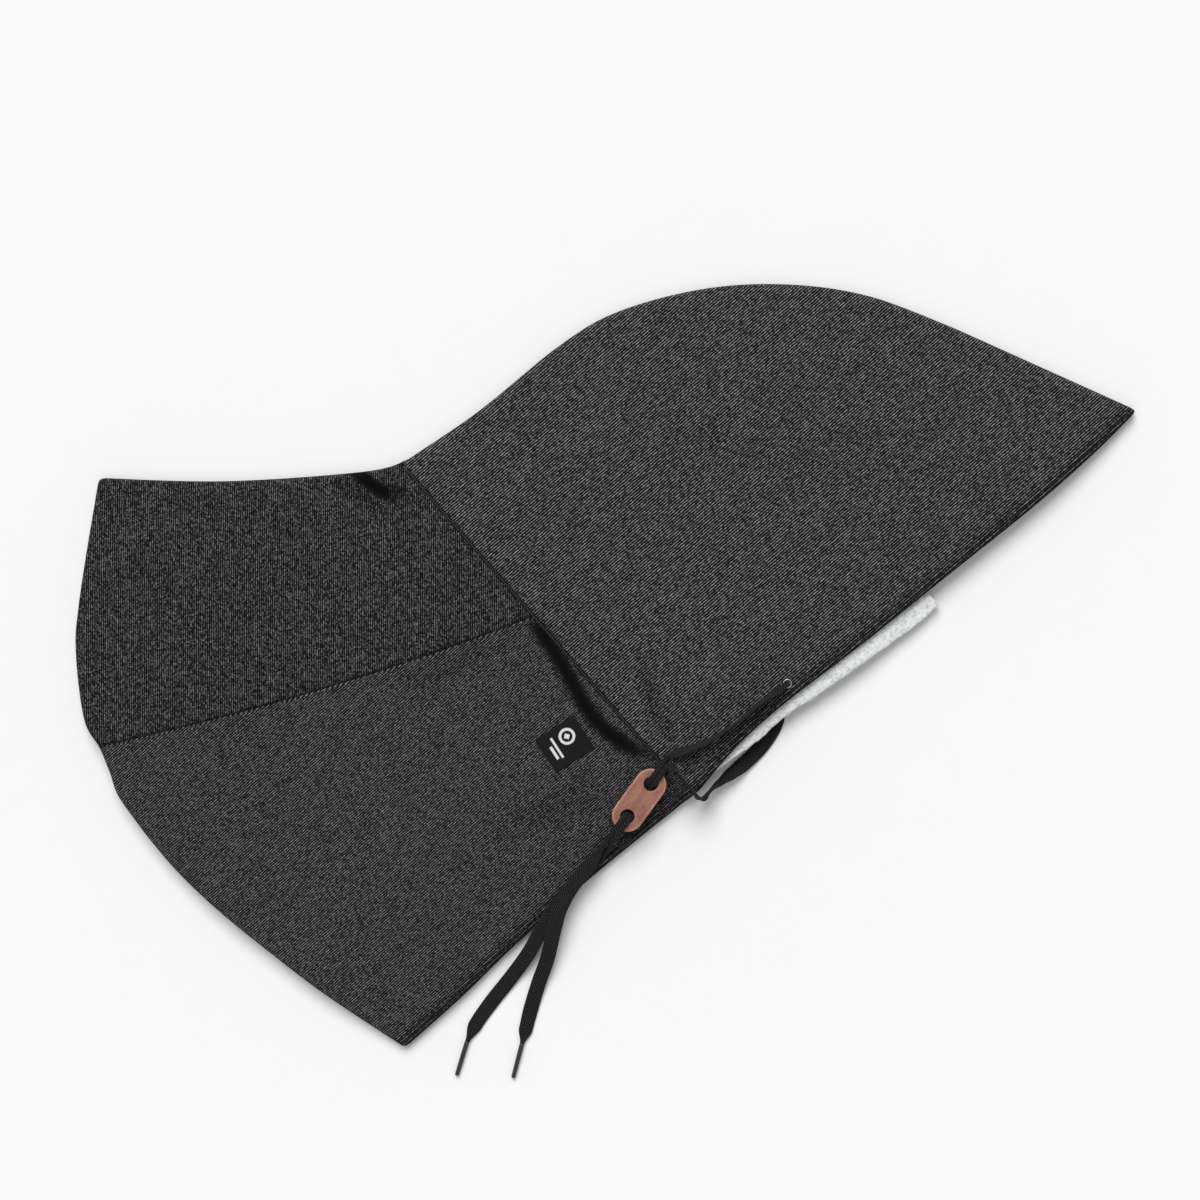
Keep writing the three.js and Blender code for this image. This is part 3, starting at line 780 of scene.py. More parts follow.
def knitGroup():
    group, entry, leave = newGroup(
        "heatherKnit",
        [("Lay", "NodeSocketVector"), ("Ribs", "NodeSocketFloat")],
        [("Mottle", "NodeSocketFloat"), ("Relief", "NodeSocketFloat")],
    )
    lay = entry.outputs["Lay"]
    place = splitXyz(group, lay)
    sway = times(group, noiseNode(group, lay, 120.0, 1.0), knit["wander"])
    across = mathNode(group, "DIVIDE", plus(group, place["Y"], sway), knit["wale"])
    ridge = mathNode(group, "ABSOLUTE", minus(group, mathNode(group, "FRACT", across), 0.5))
    along = mathNode(group, "DIVIDE", place["X"], knit["stitch"])
    along = plus(group, along, times(group, ridge, 1.1))
    cell = addNode(group, "CombineXYZ")
    feed(group, cell.inputs["X"], mathNode(group, "FLOOR", along))
    feed(group, cell.inputs["Y"], mathNode(group, "FLOOR", times(group, across, 2.0)))
    yarn = addNode(group, "TexWhiteNoise", noise_dimensions="2D")
    group.links.new(cell.outputs[0], yarn.inputs["Vector"])
    crown = times(group, minus(group, 0.5, ridge), 2.0)
    loop = mathNode(group, "SINE", times(group, mathNode(group, "FRACT", along), math.pi))
    strands = noiseNode(group, stretched(group, lay, (1.0, 0.4, 1.0)), knit["fibre"], 2.0, 0.6)
    fibres = mapRange(group, strands, 0.33, 0.67)
    clouds = noiseNode(group, stretched(group, lay, (1.0, 0.5, 1.0)), 90.0, 4.0, 0.65)
    speckle = weighted(group, (yarn.outputs["Value"], knit["yarnShare"]),
                       (fibres, knit["fibreShare"]), (clouds, knit["cloudShare"]))
    toRibs = minus(group, times(group, crown, knit["ribShare"]), speckle)
    mottle = plus(group, speckle, times(group, toRibs, entry.outputs["Ribs"]))
    relief = weighted(group, (crown, 0.7), (loop, 0.25), (fibres, 0.2))
    group.links.new(mottle, leave.inputs["Mottle"])
    group.links.new(relief, leave.inputs["Relief"])
    return group


# Painted shade: dark bands parallel to the face and front edges, in step with the rolled edge ribs.
def edgeLineGroup():
    group, entry, leave = newGroup(
        "paintedEdgeShade",
        [("Away", "NodeSocketFloat")],
        [("Lines", "NodeSocketFloat")],
    )
    away = entry.outputs["Away"]
    bands = waves(group, away, edgeRibs["pitch"])
    fade = mapRange(group, away, 0.0, edgeRibs["fade"], 1.0, 0.0)
    group.links.new(times(group, bands, fade), leave.inputs["Lines"])
    return group


heatherKnit = knitGroup()
paintedEdgeShade = edgeLineGroup()


def jerseyMaterial(name, turn, gauge, ribs, depth):
    material, tree, shader = newMaterial(name)
    lay = stretched(tree, pieceCoords(tree), (gauge, gauge, 1), turn)
    weave = useGroup(tree, heatherKnit, Lay=lay, Ribs=ribs)
    # painted shade bands along the rolled edges darken the knit's colour
    lines = useGroup(tree, paintedEdgeShade, Away=pointValue(tree, "rimAway")).outputs["Lines"]
    tone = minus(tree, weave.outputs["Mottle"], times(tree, lines, edgeRibs["shade"]))
    # painted shade: darker colour in the creases and seam grooves
    tone = minus(tree, tone, times(tree, pointValue(tree, "paintedShade"), knit["paintedShadeShare"]), True)
    colourBy(tree, shader, tone, heatherStops(depth))
    bumpTo(tree, shader, weave.outputs["Relief"], 0.5, 0.0003)
    softFinish(shader, 0.93, 0.1, 0.025, 0.6)
    return material


def heatherStops(depth):
    shades = ((0.26, 0.0015), (0.5, 0.007), (0.7, 0.052), (0.92, 0.34))
    return [(place, (shade * depth, shade * depth, shade * depth * 1.02)) for place, shade in shades]


# Painted light and shade: these are copies of one jersey, and depth paints each panel's tone as it is lit,
# the yoke front and back darker than the hood.
heathers = [
    {"name": "jerseyHeather", "turn": 0.0, "gauge": 0.89, "ribs": 0.6, "depth": 0.769},
    {"name": "jerseyYokeHeather", "turn": 0.0, "gauge": 1.0, "ribs": 0.6, "depth": 0.641},
    {"name": "jerseyBackHeather", "turn": -0.8555, "gauge": 1.0, "ribs": 0.45, "depth": 0.553},
]
jersey, jerseyYoke, jerseyBack = [jerseyMaterial(**heather) for heather in heathers]


def fleeceMaterial(name, stops):
    material, tree, shader = newMaterial(name)
    lay = pieceCoords(tree)
    clumps = noiseNode(tree, lay, 420.0, 4.0, 0.7)
    flecks = noiseNode(tree, stretched(tree, lay, (0.5, 1.0, 1.0)), 700.0, 2.0, 0.6)
    colourBy(tree, shader, weighted(tree, (clumps, 0.55), (flecks, 0.45)), stops)
    bumpTo(tree, shader, plus(tree, clumps, times(tree, flecks, 0.5)), 0.7, 0.0007)
    softFinish(shader, 0.97, 0.15, 0.25, 0.7)
    return material


fleece = fleeceMaterial("brushedFleece", [
    (0.3, (0.3, 0.31, 0.31)),
    (0.45, (0.56, 0.58, 0.575)),
    (0.56, (0.7, 0.72, 0.715)),
    (0.7, (0.8, 0.82, 0.815)),
])


def seamMaterial():
    material, tree, shader = newMaterial("seamThread")
    lay = splitXyz(tree, uvCoords(tree))
    stitch = waves(tree, plus(tree, lay["X"], lay["Y"]), 0.0021)
    tone = times(tree, stitch, noiseNode(tree, pieceCoords(tree), 1500.0, 2.0))
    colourBy(tree, shader, tone, [(0.0, (0.01, 0.01, 0.011)), (0.6, (0.045, 0.046, 0.05))])
    bumpTo(tree, shader, tone, 0.6, 0.0004)
    softFinish(shader, 0.9)
    return material


seamThread = seamMaterial()


panelParts = {
    "hoodShell": {"zone": "hood", "sheets": ("Outer",), "material": jersey,
                  "node": "hood_shell_", "slot": "jersey",
                  "flat": (0.337, 0.241), "area": 0.0613, "held": "laid"},
    "hoodLining": {"zone": "hood", "sheets": ("Inner",), "material": fleece,
                   "node": "hood_lining_", "slot": "fleece",
                   "flat": (0.337, 0.241), "area": 0.0613, "held": "laid"},
    "faceCasing": {"zone": "casing", "sheets": ("Outer", "Inner"), "material": jersey,
                   "node": "face_casing_", "slot": "jersey",
                   "flat": (0.048, 0.345), "area": None, "held": "folded"},
    "yokeFront": {"zone": "yokeFront", "sheets": ("Outer",), "material": jerseyYoke,
                  "node": "yoke_front_", "slot": "jersey",
                  "flat": (0.255, 0.262), "area": 0.0473, "held": "laid"},
    "yokeBack": {"zone": "yokeBack", "sheets": ("Outer",), "material": jerseyBack,
                 "node": "yoke_back_", "slot": "jersey_back",
                 "flat": (0.235, 0.248), "area": 0.0301, "held": "laid"},
    "yokeLining": {"zone": "yoke", "sheets": ("Inner",), "material": fleece,
                   "node": "yoke_lining_", "slot": "fleece",
                   "flat": (0.376, 0.262), "area": 0.0783, "held": "laid"},
}


def makePanels():
    made = {}
    for label, side, up in (("Right", "right", True), ("Left", "left", False)):
        for name, part in panelParts.items():
            sheets = [(side + sheet, up if sheet == "Outer" else not up) for sheet in part["sheets"]]
            piece = clothPiece(name + label, part["zone"], sheets, part["material"])
            made[name + label] = settle(piece, part["node"] + side)
    return made


panels = makePanels()
print("cloth panels:", len(panels))


def gridFaces(rows, columns, flip=False):
    faces = []
    for i in range(rows - 1):
        for k in range(columns - 1):
            a = i * columns + k
            quad = (a, a + 1, a + columns + 1, a + columns)
            faces.append((a, a + columns, a + columns + 1, a + 1) if flip else quad)
    return faces


def tubeFaces(rings, sides):
    faces = []
    for i in range(rings - 1):
        for k in range(sides):
            a = i * sides + k
            b = i * sides + (k + 1) % sides
            faces.append((a, b, b + sides, a + sides))
    faces.append(tuple(range(sides))[::-1])
    faces.append(tuple(range((rings - 1) * sides, rings * sides)))
    return faces


def ribbon(name, points, widths, thicks, rolls, material, sides=12, flatness=0.55):
    points = np.array(points, float)
    count = len(points)
    ahead = np.vstack([points[1:], points[-1:]]) - np.vstack([points[:1], points[:-1]])
    ahead /= np.linalg.norm(ahead, axis=1)[:, None]
    soft = np.vstack([points[3:], np.repeat(points[-1:], 3, axis=0)])
    soft = soft - np.vstack([np.repeat(points[:1], 3, axis=0), points[:-3]])
    run = np.concatenate([[0], np.cumsum(np.linalg.norm(np.diff(points, axis=0), axis=1))])
    verts = []
    lay = []
    for i in range(count):
        across = Vector((-soft[i][1], soft[i][0], 0)).normalized()
        along = Vector(ahead[i])
        across = (across - along * across.dot(along)).normalized()
        upward = along.cross(across)
        turn = math.radians(rolls[i])
        for k in range(sides):
            angle = 2 * math.pi * (k + 0.5) / sides
            c = math.cos(angle)
            s = math.sin(angle)
            w = math.copysign(abs(c) ** flatness, c) * widths[i] / 2
            h = math.copysign(abs(s) ** 0.8, s) * thicks[i] / 2
            sideways = w * math.cos(turn) - h * math.sin(turn)
            rise = w * math.sin(turn) + h * math.cos(turn)
            verts.append(Vector(points[i]) + across * sideways + upward * rise)
            lay.append((run[i], w if s > 0 else -w))
    piece = newPiece(name, placed(verts), tubeFaces(count, sides), material)
    layUv(piece, lay)
    return piece


seamSizes = {
    "edgeRidge": 0.0015,
    "neckStrip": 0.0016,
    "shoulderRidge": 0.0013,
}


def middleHeight(line):
    found = clothHeights(line)
    return (found["rightOuter"] + found["leftOuter"]) / 2


def edgeSeam(name, node, line):
    flat = evenLine(line, 0.0035)
    inward = offsetLine(flat, 0.0006)[1:-1]
    inward = inward[insideOutline(inward)]
    points = np.column_stack([inward, middleHeight(inward)])
    size = seamSizes["edgeRidge"]
    count = len(points)
    piece = ribbon(name, points, [size] * count, [size * 1.4] * count, [0] * count, seamThread, 8, 1.0)
    return settle(piece, node)


def onSide(found, side, rise):
    return found["rightOuter"] + rise if side == "right" else found["leftOuter"] - rise


def crossSeam(name, node, line, side, width, rise, material):
    flat = evenLine(line, 0.0026)
    flat = flat[insideOutline(flat)]
    flat = flat[edgeGap(flat) > 0.0012]
    points = np.column_stack([flat, onSide(clothHeights(flat), side, rise)])
    count = len(points)
    piece = ribbon(name, points, [width] * count, [0.0009] * count, [0] * count, material, 8, 0.8)
    if material is jersey:
        pointValues(piece, "rimAway", [0.05] * len(piece.data.vertices))
    return settle(piece, node)


def makeSeams():
    edgeSeam("crownSeam", "crown_seam", crownLine)
    edgeSeam("frontSeam", "front_seam", frontLine)
    edgeSeam("backSeam", "back_seam", backLine)
    neck = np.array([(yoke["neckX"], 0.02), (yoke["neckX"], 0.3)])
    for label, side in (("Right", "right"), ("Left", "left")):
        crossSeam("neckSeam" + label, "neck_seam_" + side, neck, side,
                  seamSizes["neckStrip"], 0.0001, seamThread)
        crossSeam("shoulderSeam" + label, "shoulder_seam_" + side, shoulderLine, side,
                  seamSizes["shoulderRidge"], 0.0002, jersey)


makeSeams()
print("seams made")


maskStrip = {
    "top": 0.181,
    "depth": 0.088,
    "rise": 0.0043,
    "height": 0.0034,
    "cloth": 0.0013,
}


def makeMask():
    top = maskStrip["top"]
    depth = maskStrip["depth"]
    fold = splineLine([
        (top, -0.0125), (top - 0.017, -0.013), (0.126, -0.0094), (0.104, -0.0072), (0.084, -0.0046),
        (0.066, -0.0024), (0.045, -0.0024), (-0.0043, 0.002),
    ], 110)
    inner = evenLine(np.array([(top - 0.004, 0.6 * depth), (top - 0.04, depth), (-0.0043, depth)]), 0.0001)
    inner = inner[np.linspace(0, len(inner) - 1, len(fold)).astype(int)]
    shares = np.concatenate([[0, 0.003, 0.008, 0.016, 0.03, 0.05], np.linspace(0.08, 1, 26)])
    half = maskStrip["height"] / 2
    rows = []
    for leaf in (-1, 1):
        order = shares[::-1] if leaf < 0 else shares[1:]
        for share in order:
            flat = fold + (inner - fold) * share
            reach = np.linalg.norm(inner - fold, axis=1) * share
            bulge = half * roundOff(reach, half)
            z = underHeight(flat) + maskStrip["rise"] + half + leaf * bulge
            lumps = noiseField(flat, 0.006, 0.004, 9.1 + leaf) * 0.00035
            lumps += noiseField(flat, 0.0016, 0.0014, 2.2) * 0.0002
            shiftY = lumps * 2.0 * np.exp(-reach / 0.006)
            rows.append(np.column_stack([flat[:, 0], flat[:, 1] + shiftY, z + leaf * lumps * 0.6]))
    piece = newPiece("faceMask", placed(np.vstack(rows)), gridFaces(len(rows), len(fold)), fleece)
    thicken = piece.modifiers.new("cloth", "SOLIDIFY")
    thicken.thickness = maskStrip["cloth"]
    thicken.offset = 1
    applyModifiers(piece)
    settle(piece, "face_mask")
    return piece


def applyModifiers(piece):
    bpy.context.view_layer.update()
    seen = piece.evaluated_get(bpy.context.evaluated_depsgraph_get())
    mesh = bpy.data.meshes.new_from_object(seen)
    piece.modifiers.clear()
    piece.data = mesh


faceMask = makeMask()
print("face mask made")


lace = {
    "width": 0.009,
    "thick": 0.0015,
    "strand": 0.0032,       # each lace where it is pinched to share the toggle
    "pitch": 0.0033,
}
toggleSize = {
    "length": 0.042,
    "width": 0.019,
    "thick": 0.003,
    "hole": 0.0085,
    "holePitch": 0.024,
    "turn": math.atan2(0.227, 0.974),
}
toggleLow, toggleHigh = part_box("toggle")
toggleSpot = (toggleLow + toggleHigh) / 2 - Vector((shift[0], shift[1], 0))
toggleZ = toggleLow.z


def laceMaterial():
    material, tree, shader = newMaterial("flatLace")
    lay = splitXyz(tree, uvCoords(tree))
    across = mathNode(tree, "ABSOLUTE", lay["Y"])
    chevron = waves(tree, plus(tree, lay["X"], times(tree, across, 1.1)), 0.0019)
    ribs = waves(tree, lay["Y"], 0.0011)
    braid = times(tree, chevron, plus(tree, times(tree, ribs, 0.6), 0.4))
    fuzz = noiseNode(tree, pieceCoords(tree), 1600.0, 3.0, 0.7)
    tone = weighted(tree, (braid, 0.5), (fuzz, 0.5))
    colourBy(tree, shader, tone, [
        (0.22, (0.0018, 0.0016, 0.0017)),
        (0.5, (0.0095, 0.0084, 0.009)),
        (0.82, (0.055, 0.048, 0.051)),
    ])
    bumpTo(tree, shader, tone, 0.7, 0.0005)
    softFinish(shader, 0.88, 0.16, 0.04, 0.5)
    return material


flatLace = laceMaterial()


def routeCurve(rows, perStep):
    points = [Vector(row[:3]) for row in rows]
    line = []
    for k in range(len(points) - 1):
        p1 = points[k]
        p2 = points[k + 1]
        p0 = points[k - 1] if k > 0 else p1 * 2 - p2
        p3 = points[k + 2] if k + 2 < len(points) else p2 * 2 - p1
        d0 = max((p1 - p0).length ** 0.5, 1e-5)
        d1 = max((p2 - p1).length ** 0.5, 1e-5)
        d2 = max((p3 - p2).length ** 0.5, 1e-5)
        t1 = ((p1 - p0) / d0 - (p2 - p0) / (d0 + d1) + (p2 - p1) / d1) * d1
        t2 = ((p2 - p1) / d1 - (p3 - p1) / (d1 + d2) + (p3 - p2) / d2) * d1
        steps = perStep + (1 if k == len(points) - 2 else 0)
        for i in range(steps):
            w = i / perStep
            cubic = (p1 * 2 - p2 * 2 + t1 + t2) * w ** 3
            square = (p1 * -3 + p2 * 3 - t1 * 2 - t2) * w ** 2
            place = cubic + square + t1 * w + p1
            width = rows[k][3] + (rows[k + 1][3] - rows[k][3]) * float(ease(w))
            roll = rows[k][4] + (rows[k + 1][4] - rows[k][4]) * float(ease(w))
            line.append((*place, width, roll))
    return np.array(line)


def lacePiece(name, rows, perStep=7):
    line = routeCurve(rows, perStep)
    widths = line[:, 3]
    full = np.clip((widths - lace["strand"]) / (lace["width"] - lace["strand"]), 0, 1)
    thicks = lace["thick"] * (1.35 - 0.35 * full)
    piece = ribbon(name, line[:, :3], widths, thicks, line[:, 4], flatLace, 14, 0.5)
    return piece, line[:, :3]


def onTop(x, y, rise, width, roll):
    return (x, y, topAt(x, y) + rise, width, roll)


def toggleFrame(along, across):
    c = math.cos(toggleSize["turn"])
    s = math.sin(toggleSize["turn"])
    return toggleSpot.x + along * c - across * s, toggleSpot.y + along * s + across * c


def strandMouth(end, offset, out=0.0, drop=0.0):
    x, y = toggleFrame(end * (0.024 + out), offset)
    return (x, y, toggleZ + 0.004 - drop, lace["strand"], 0)


def routes():
    half = lace["pitch"] / 2
    rightZ = eyeletMiddle("right").z
    leftZ = eyeletMiddle("left").z
    floorLace = 0.0012
    tableZ = 0.001
    runRight = [
        (eyeletX, eyeletY, rightZ - 0.0018, 0.003, 0),
        (eyeletX, eyeletY, rightZ + 0.0004, 0.003, 0),
        onTop(eyeletX - 0.003, eyeletY + 0.0003, 0.003, 0.0038, 8),
        onTop(0.066, 0.0136, 0.0048, 0.0084, 80),
        onTop(0.054, 0.0141, 0.005, lace["width"], 84),
        onTop(0.0425, 0.0146, 0.005, lace["width"], 84),
        onTop(0.022, 0.0175, 0.005, lace["width"], 74),
        onTop(0.009, 0.022, 0.005, lace["width"], 60),
        strandMouth(1, half, 0.006, 0.0004),
        strandMouth(1, half),
    ]
    runLeft = [
        (eyeletX, eyeletY, leftZ + 0.0018, 0.003, 0),
        (eyeletX, eyeletY, leftZ - 0.0006, 0.003, 0),
        (eyeletX - 0.0015, eyeletY - 0.001, floorLace + 0.0001, 0.003, 0),
        (eyeletX - 0.004, eyeletY - 0.0028, floorLace, 0.0038, 0),
        (0.071, 0.0055, floorLace, 0.0075, 0),
        (0.06, -0.0025, floorLace, lace["width"], 0),
        (0.045, -0.007, floorLace, lace["width"], 0),
        (0.03, -0.008, floorLace + 0.0006, lace["width"], 8),
        (0.021, -0.0074, floorLace + 0.0026, lace["width"], 36),
        (0.012, -0.0069, floorLace + 0.0042, lace["width"], 66),
        (0.004, -0.0066, 0.009, lace["width"], 88),
        (-0.0028, -0.006, 0.016, lace["width"], 90),
        (-0.0035, 0.0, topAt(-0.0035, 0.002) + 0.0066, lace["width"], 90),
        onTop(-0.0035, 0.009, 0.0054, lace["width"], 90),
        onTop(-0.0032, 0.0155, 0.0052, 0.008, 84),
        strandMouth(1, -half, 0.003, 0.0002),
        strandMouth(1, -half),
    ]
    tailRight = [
        strandMouth(-1, half),
        strandMouth(-1, half, 0.003, 0.0004),
        onTop(-0.067, 0.0108, 0.0054, 0.0036, 0),
        onTop(-0.08, 0.0074, 0.0039, lace["width"], 0),
        onTop(-0.096, 0.0046, 0.0039, lace["width"], 0),
        (-0.11, -0.0006, 0.013, lace["width"], 0),
        (-0.122, -0.0085, 0.0118, lace["width"], 0),
        (-0.136, -0.0186, 0.0074, lace["width"], 0),
        (-0.15, -0.0266, 0.003, lace["width"], 0),
        (-0.164, -0.0355, tableZ, lace["width"], 0),
        (-0.174, -0.0425, tableZ, 0.0084, 0),
        (-0.1814, -0.0476, tableZ + 0.0007, 0.0026, 0),
    ]
    tailLeft = [
        strandMouth(-1, -half),
        strandMouth(-1, -half, 0.003, 0.0006),
        onTop(-0.067, 0.007, 0.0024, 0.0036, 0),
        onTop(-0.08, 0.0068, 0.0014, lace["width"], 0),
        onTop(-0.096, 0.005, 0.0014, lace["width"], 0),
        (-0.112, 0.0016, topAt(-0.112, 0.004) + 0.0014, lace["width"], 0),
        (-0.127, -0.003, topAt(-0.126, 0.004) + 0.0013, lace["width"], 0),
        (-0.142, -0.0086, 0.0068, lace["width"], 0),
        (-0.16, -0.013, 0.0022, lace["width"], 0),
        (-0.178, -0.0164, tableZ, lace["width"], 0),
        (-0.195, -0.0206, tableZ, 0.0086, 0),
        (-0.2056, -0.025, tableZ + 0.0007, 0.0026, 0),
    ]
    return {"runRight": runRight, "runLeft": runLeft, "tailRight": tailRight, "tailLeft": tailLeft}


laceRoutes = routes()


def strandRows(offset):
    profile = [
        (0.0241, 0.0040), (0.021, 0.0044), (0.01725, 0.0047), (0.01505, 0.0045), (0.012, 0.0015),
        (0.00895, -0.0015), (0.00675, -0.0017), (0.0, -0.0014),
    ]
    both = profile + [(-x, z) for x, z in profile[-2::-1]]
    rows = []
    for along, z in both:
        x, y = toggleFrame(along, offset)
        rows.append((x, y, toggleZ + z, lace["strand"], 0))
    return rows


def makeLaces():
    made = {}
    for label, side, sign in (("Right", "right", 1), ("Left", "left", -1)):
        strand, _ = lacePiece("laceStrand" + label, strandRows(sign * lace["pitch"] / 2))
        settle(strand, "lace_strand_" + side, "toggle_body")
        for part in ("Run", "Tail"):
            piece, line = lacePiece("lace" + part + label, laceRoutes[part.lower() + label])
            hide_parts("lace_" + part.lower() + "_" + side)
            made[part + label] = (piece, placed(line))
    for label in ("Right", "Left"):
        piece, line = made["Run" + label]
        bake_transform(piece)
        piece, line = made["Tail" + label]
        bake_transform(piece)
    return made


def makeCasingLace():
    xs = np.linspace(0.329, eyeletX + 0.0034, 90)
    flat = np.column_stack([xs, faceEdgeY(xs) + laceInset])
    found = clothHeights(flat)
    rightZ = found["rightOuter"] - 0.002
    leftZ = found["leftOuter"] + 0.002
    turn = []
    for share in np.linspace(0, 1, 9)[1:-1]:
        reach = 0.0025 * math.sin(math.pi * share)
        turn.append((0.329 + reach, flat[0][1], rightZ[0] + (leftZ[0] - rightZ[0]) * share))
    points = np.vstack([np.column_stack([flat, rightZ])[::-1], turn, np.column_stack([flat, leftZ])])
    count = len(points)
    piece = ribbon("casingLace", points, [0.0085] * count, [0.001] * count, [0] * count, flatLace, 8, 0.5)
    return settle(piece, "casing_lace")


laces = makeLaces()
makeCasingLace()
print("drawcord laid")


def leatherMaterial():
    material, tree, shader = newMaterial("toggleLeather")
    local = pieceCoords(tree)
    place = splitXyz(tree, local)
    reach = (toggleSize["length"] - toggleSize["width"]) / 2
    overEnd = minus(tree, mathNode(tree, "ABSOLUTE", place["X"]), reach)
    overEnd = mathNode(tree, "POWER", mathNode(tree, "MAXIMUM", overEnd, 0), 2.0)
    squares = plus(tree, overEnd, mathNode(tree, "POWER", place["Y"], 2.0))
    rim = mapRange(tree, mathNode(tree, "SQRT", squares), 0.0076, 0.0094)
    grain = noiseNode(tree, local, 700.0, 5.0, 0.65)
    pull = noiseNode(tree, stretched(tree, local, (0.35, 1.0, 1.0)), 260.0, 3.0, 0.6)
    tone = weighted(tree, (grain, 0.5), (pull, 0.5), (rim, 0.22))
    colourBy(tree, shader, tone, [
        (0.3, (0.12, 0.045, 0.03)),
        (0.5, (0.23, 0.092, 0.06)),
        (0.68, (0.35, 0.155, 0.105)),
        (0.9, (0.52, 0.27, 0.2)),
    ])
    tree.links.new(mapRange(tree, tone, 0.3, 0.9, 0.62, 0.4), shader.inputs["Roughness"])
    bumpTo(tree, shader, grain, 0.35, 0.0003)
    return material


def toggleOutline():
    reach = (toggleSize["length"] - toggleSize["width"]) / 2
    radius = toggleSize["width"] / 2
    points = []
    for end, start in ((1, -math.pi / 2), (-1, math.pi / 2)):
        for i in range(25):
            angle = start + math.pi * i / 24
            points.append((end * reach + radius * math.cos(angle), radius * math.sin(angle)))
    return points


def holeOutline(end):
    radius = toggleSize["hole"] / 2
    middle = end * toggleSize["holePitch"] / 2
    angles = [2 * math.pi * i / 32 for i in range(32)]
    return [(middle + radius * math.cos(a), radius * math.sin(a)) for a in angles]


def makeToggle():
    edge = 0.0006
    curve = bpy.data.curves.new("toggleCut", "CURVE")
    curve.dimensions = "2D"
    curve.fill_mode = "BOTH"
    for points in (toggleOutline(), holeOutline(1), holeOutline(-1)):
        spline = curve.splines.new("POLY")
        spline.points.add(len(points) - 1)
        for point, (x, y) in zip(spline.points, points):
            point.co = (x, y, 0, 1)
        spline.use_cyclic_u = True
    curve.extrude = toggleSize["thick"] / 2 - edge
    curve.bevel_depth = edge
    curve.bevel_resolution = 3
    curve.offset = -edge
    cutter = bpy.data.objects.new("toggleCut", curve)
    bpy.context.scene.collection.objects.link(cutter)
    bpy.context.view_layer.update()
    mesh = bpy.data.meshes.new_from_object(cutter.evaluated_get(bpy.context.evaluated_depsgraph_get()))
    bpy.data.objects.remove(cutter)
    mesh.materials.clear()
    mesh.materials.append(leatherMaterial())
    piece = bpy.data.objects.new("togglePill", mesh)
    bpy.context.scene.collection.objects.link(piece)
    middle = (toggleLow + toggleHigh) / 2
    piece.matrix_world = Matrix.Translation(middle) @ Matrix.Rotation(toggleSize["turn"], 4, "Z")
    mesh.polygons.foreach_set("use_smooth", [True] * len(mesh.polygons))
    mesh.set_sharp_from_angle(angle=math.radians(40))
    return settle(piece, "toggle", "toggle_body")


togglePill = makeToggle()


def turnedPiece(name, profile, turns, material):
    verts = []
    faces = []
    count = len(profile)
    for i in range(turns):
        angle = 2 * math.pi * i / turns
        verts += [(r * math.cos(angle), r * math.sin(angle), z) for r, z in profile]
    for i in range(turns):
        for k in range(count):
            a = i * count + k
            b = i * count + (k + 1) % count
            c = ((i + 1) % turns) * count
            faces.append((a, c + k, c + (k + 1) % count, b))
    return newPiece(name, verts, faces, material)


def metalMaterial():
    material, tree, shader = newMaterial("eyeletSteel")
    scuff = noiseNode(tree, stretched(tree, pieceCoords(tree), (1, 1, 0.2)), 1400.0, 4.0, 0.7)
    colourBy(tree, shader, scuff, [(0.3, (0.2, 0.203, 0.207)), (0.7, (0.44, 0.448, 0.456))])
    tree.links.new(mapRange(tree, scuff, 0.3, 0.7, 0.2, 0.42), shader.inputs["Roughness"])
    bumpTo(tree, shader, scuff, 0.15, 0.0001)
    shader.inputs["Metallic"].default_value = 1.0
    return material


def makeEyelets():
    steel = metalMaterial()
    sink = 0.0011           # how far the barrel reaches into the cloth
    profile = [
        (0.00195, -0.0011), (0.00235, -0.0011), (0.0024, 0.0001), (0.0027, 0.0002), (0.0029, 0.00045),
        (0.00285, 0.00072), (0.00262, 0.00096), (0.0023, 0.00104), (0.00205, 0.00092), (0.00197, 0.0006),
    ]
    for label, side, flip in (("Right", "right", 0), ("Left", "left", math.pi)):
        piece = turnedPiece("eyelet" + label, profile, 40, steel)
        low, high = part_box("eyelet_" + side)
        middle = (low + high) / 2
        base = low.z + sink if side == "right" else high.z - sink
        piece.matrix_world = Matrix.Translation((middle.x, middle.y, base)) @ Matrix.Rotation(flip, 4, "X")
        settle(piece, "eyelet_" + side)


def filmMaterial():
    material, tree, shader = newMaterial("agletFilm")
    wrap = noiseNode(tree, stretched(tree, pieceCoords(tree), (0.15, 1, 1)), 900.0, 3.0, 0.6)
    colourBy(tree, shader, wrap, [(0.3, (0.006, 0.0055, 0.006)), (0.75, (0.024, 0.021, 0.023))])
    tree.links.new(mapRange(tree, wrap, 0.3, 0.7, 0.16, 0.34), shader.inputs["Roughness"])
    bumpTo(tree, shader, wrap, 0.2, 0.0002)
    shader.inputs["Coat Weight"].default_value = 0.5
    shader.inputs["Coat Roughness"].default_value = 0.15
    return material


aglet = {
    "length": 0.021,
    "across": 0.0029,
    "headings": {"Right": (-12.1, -17.7), "Left": (-12.1, -19.4)},      # Y, then X
}


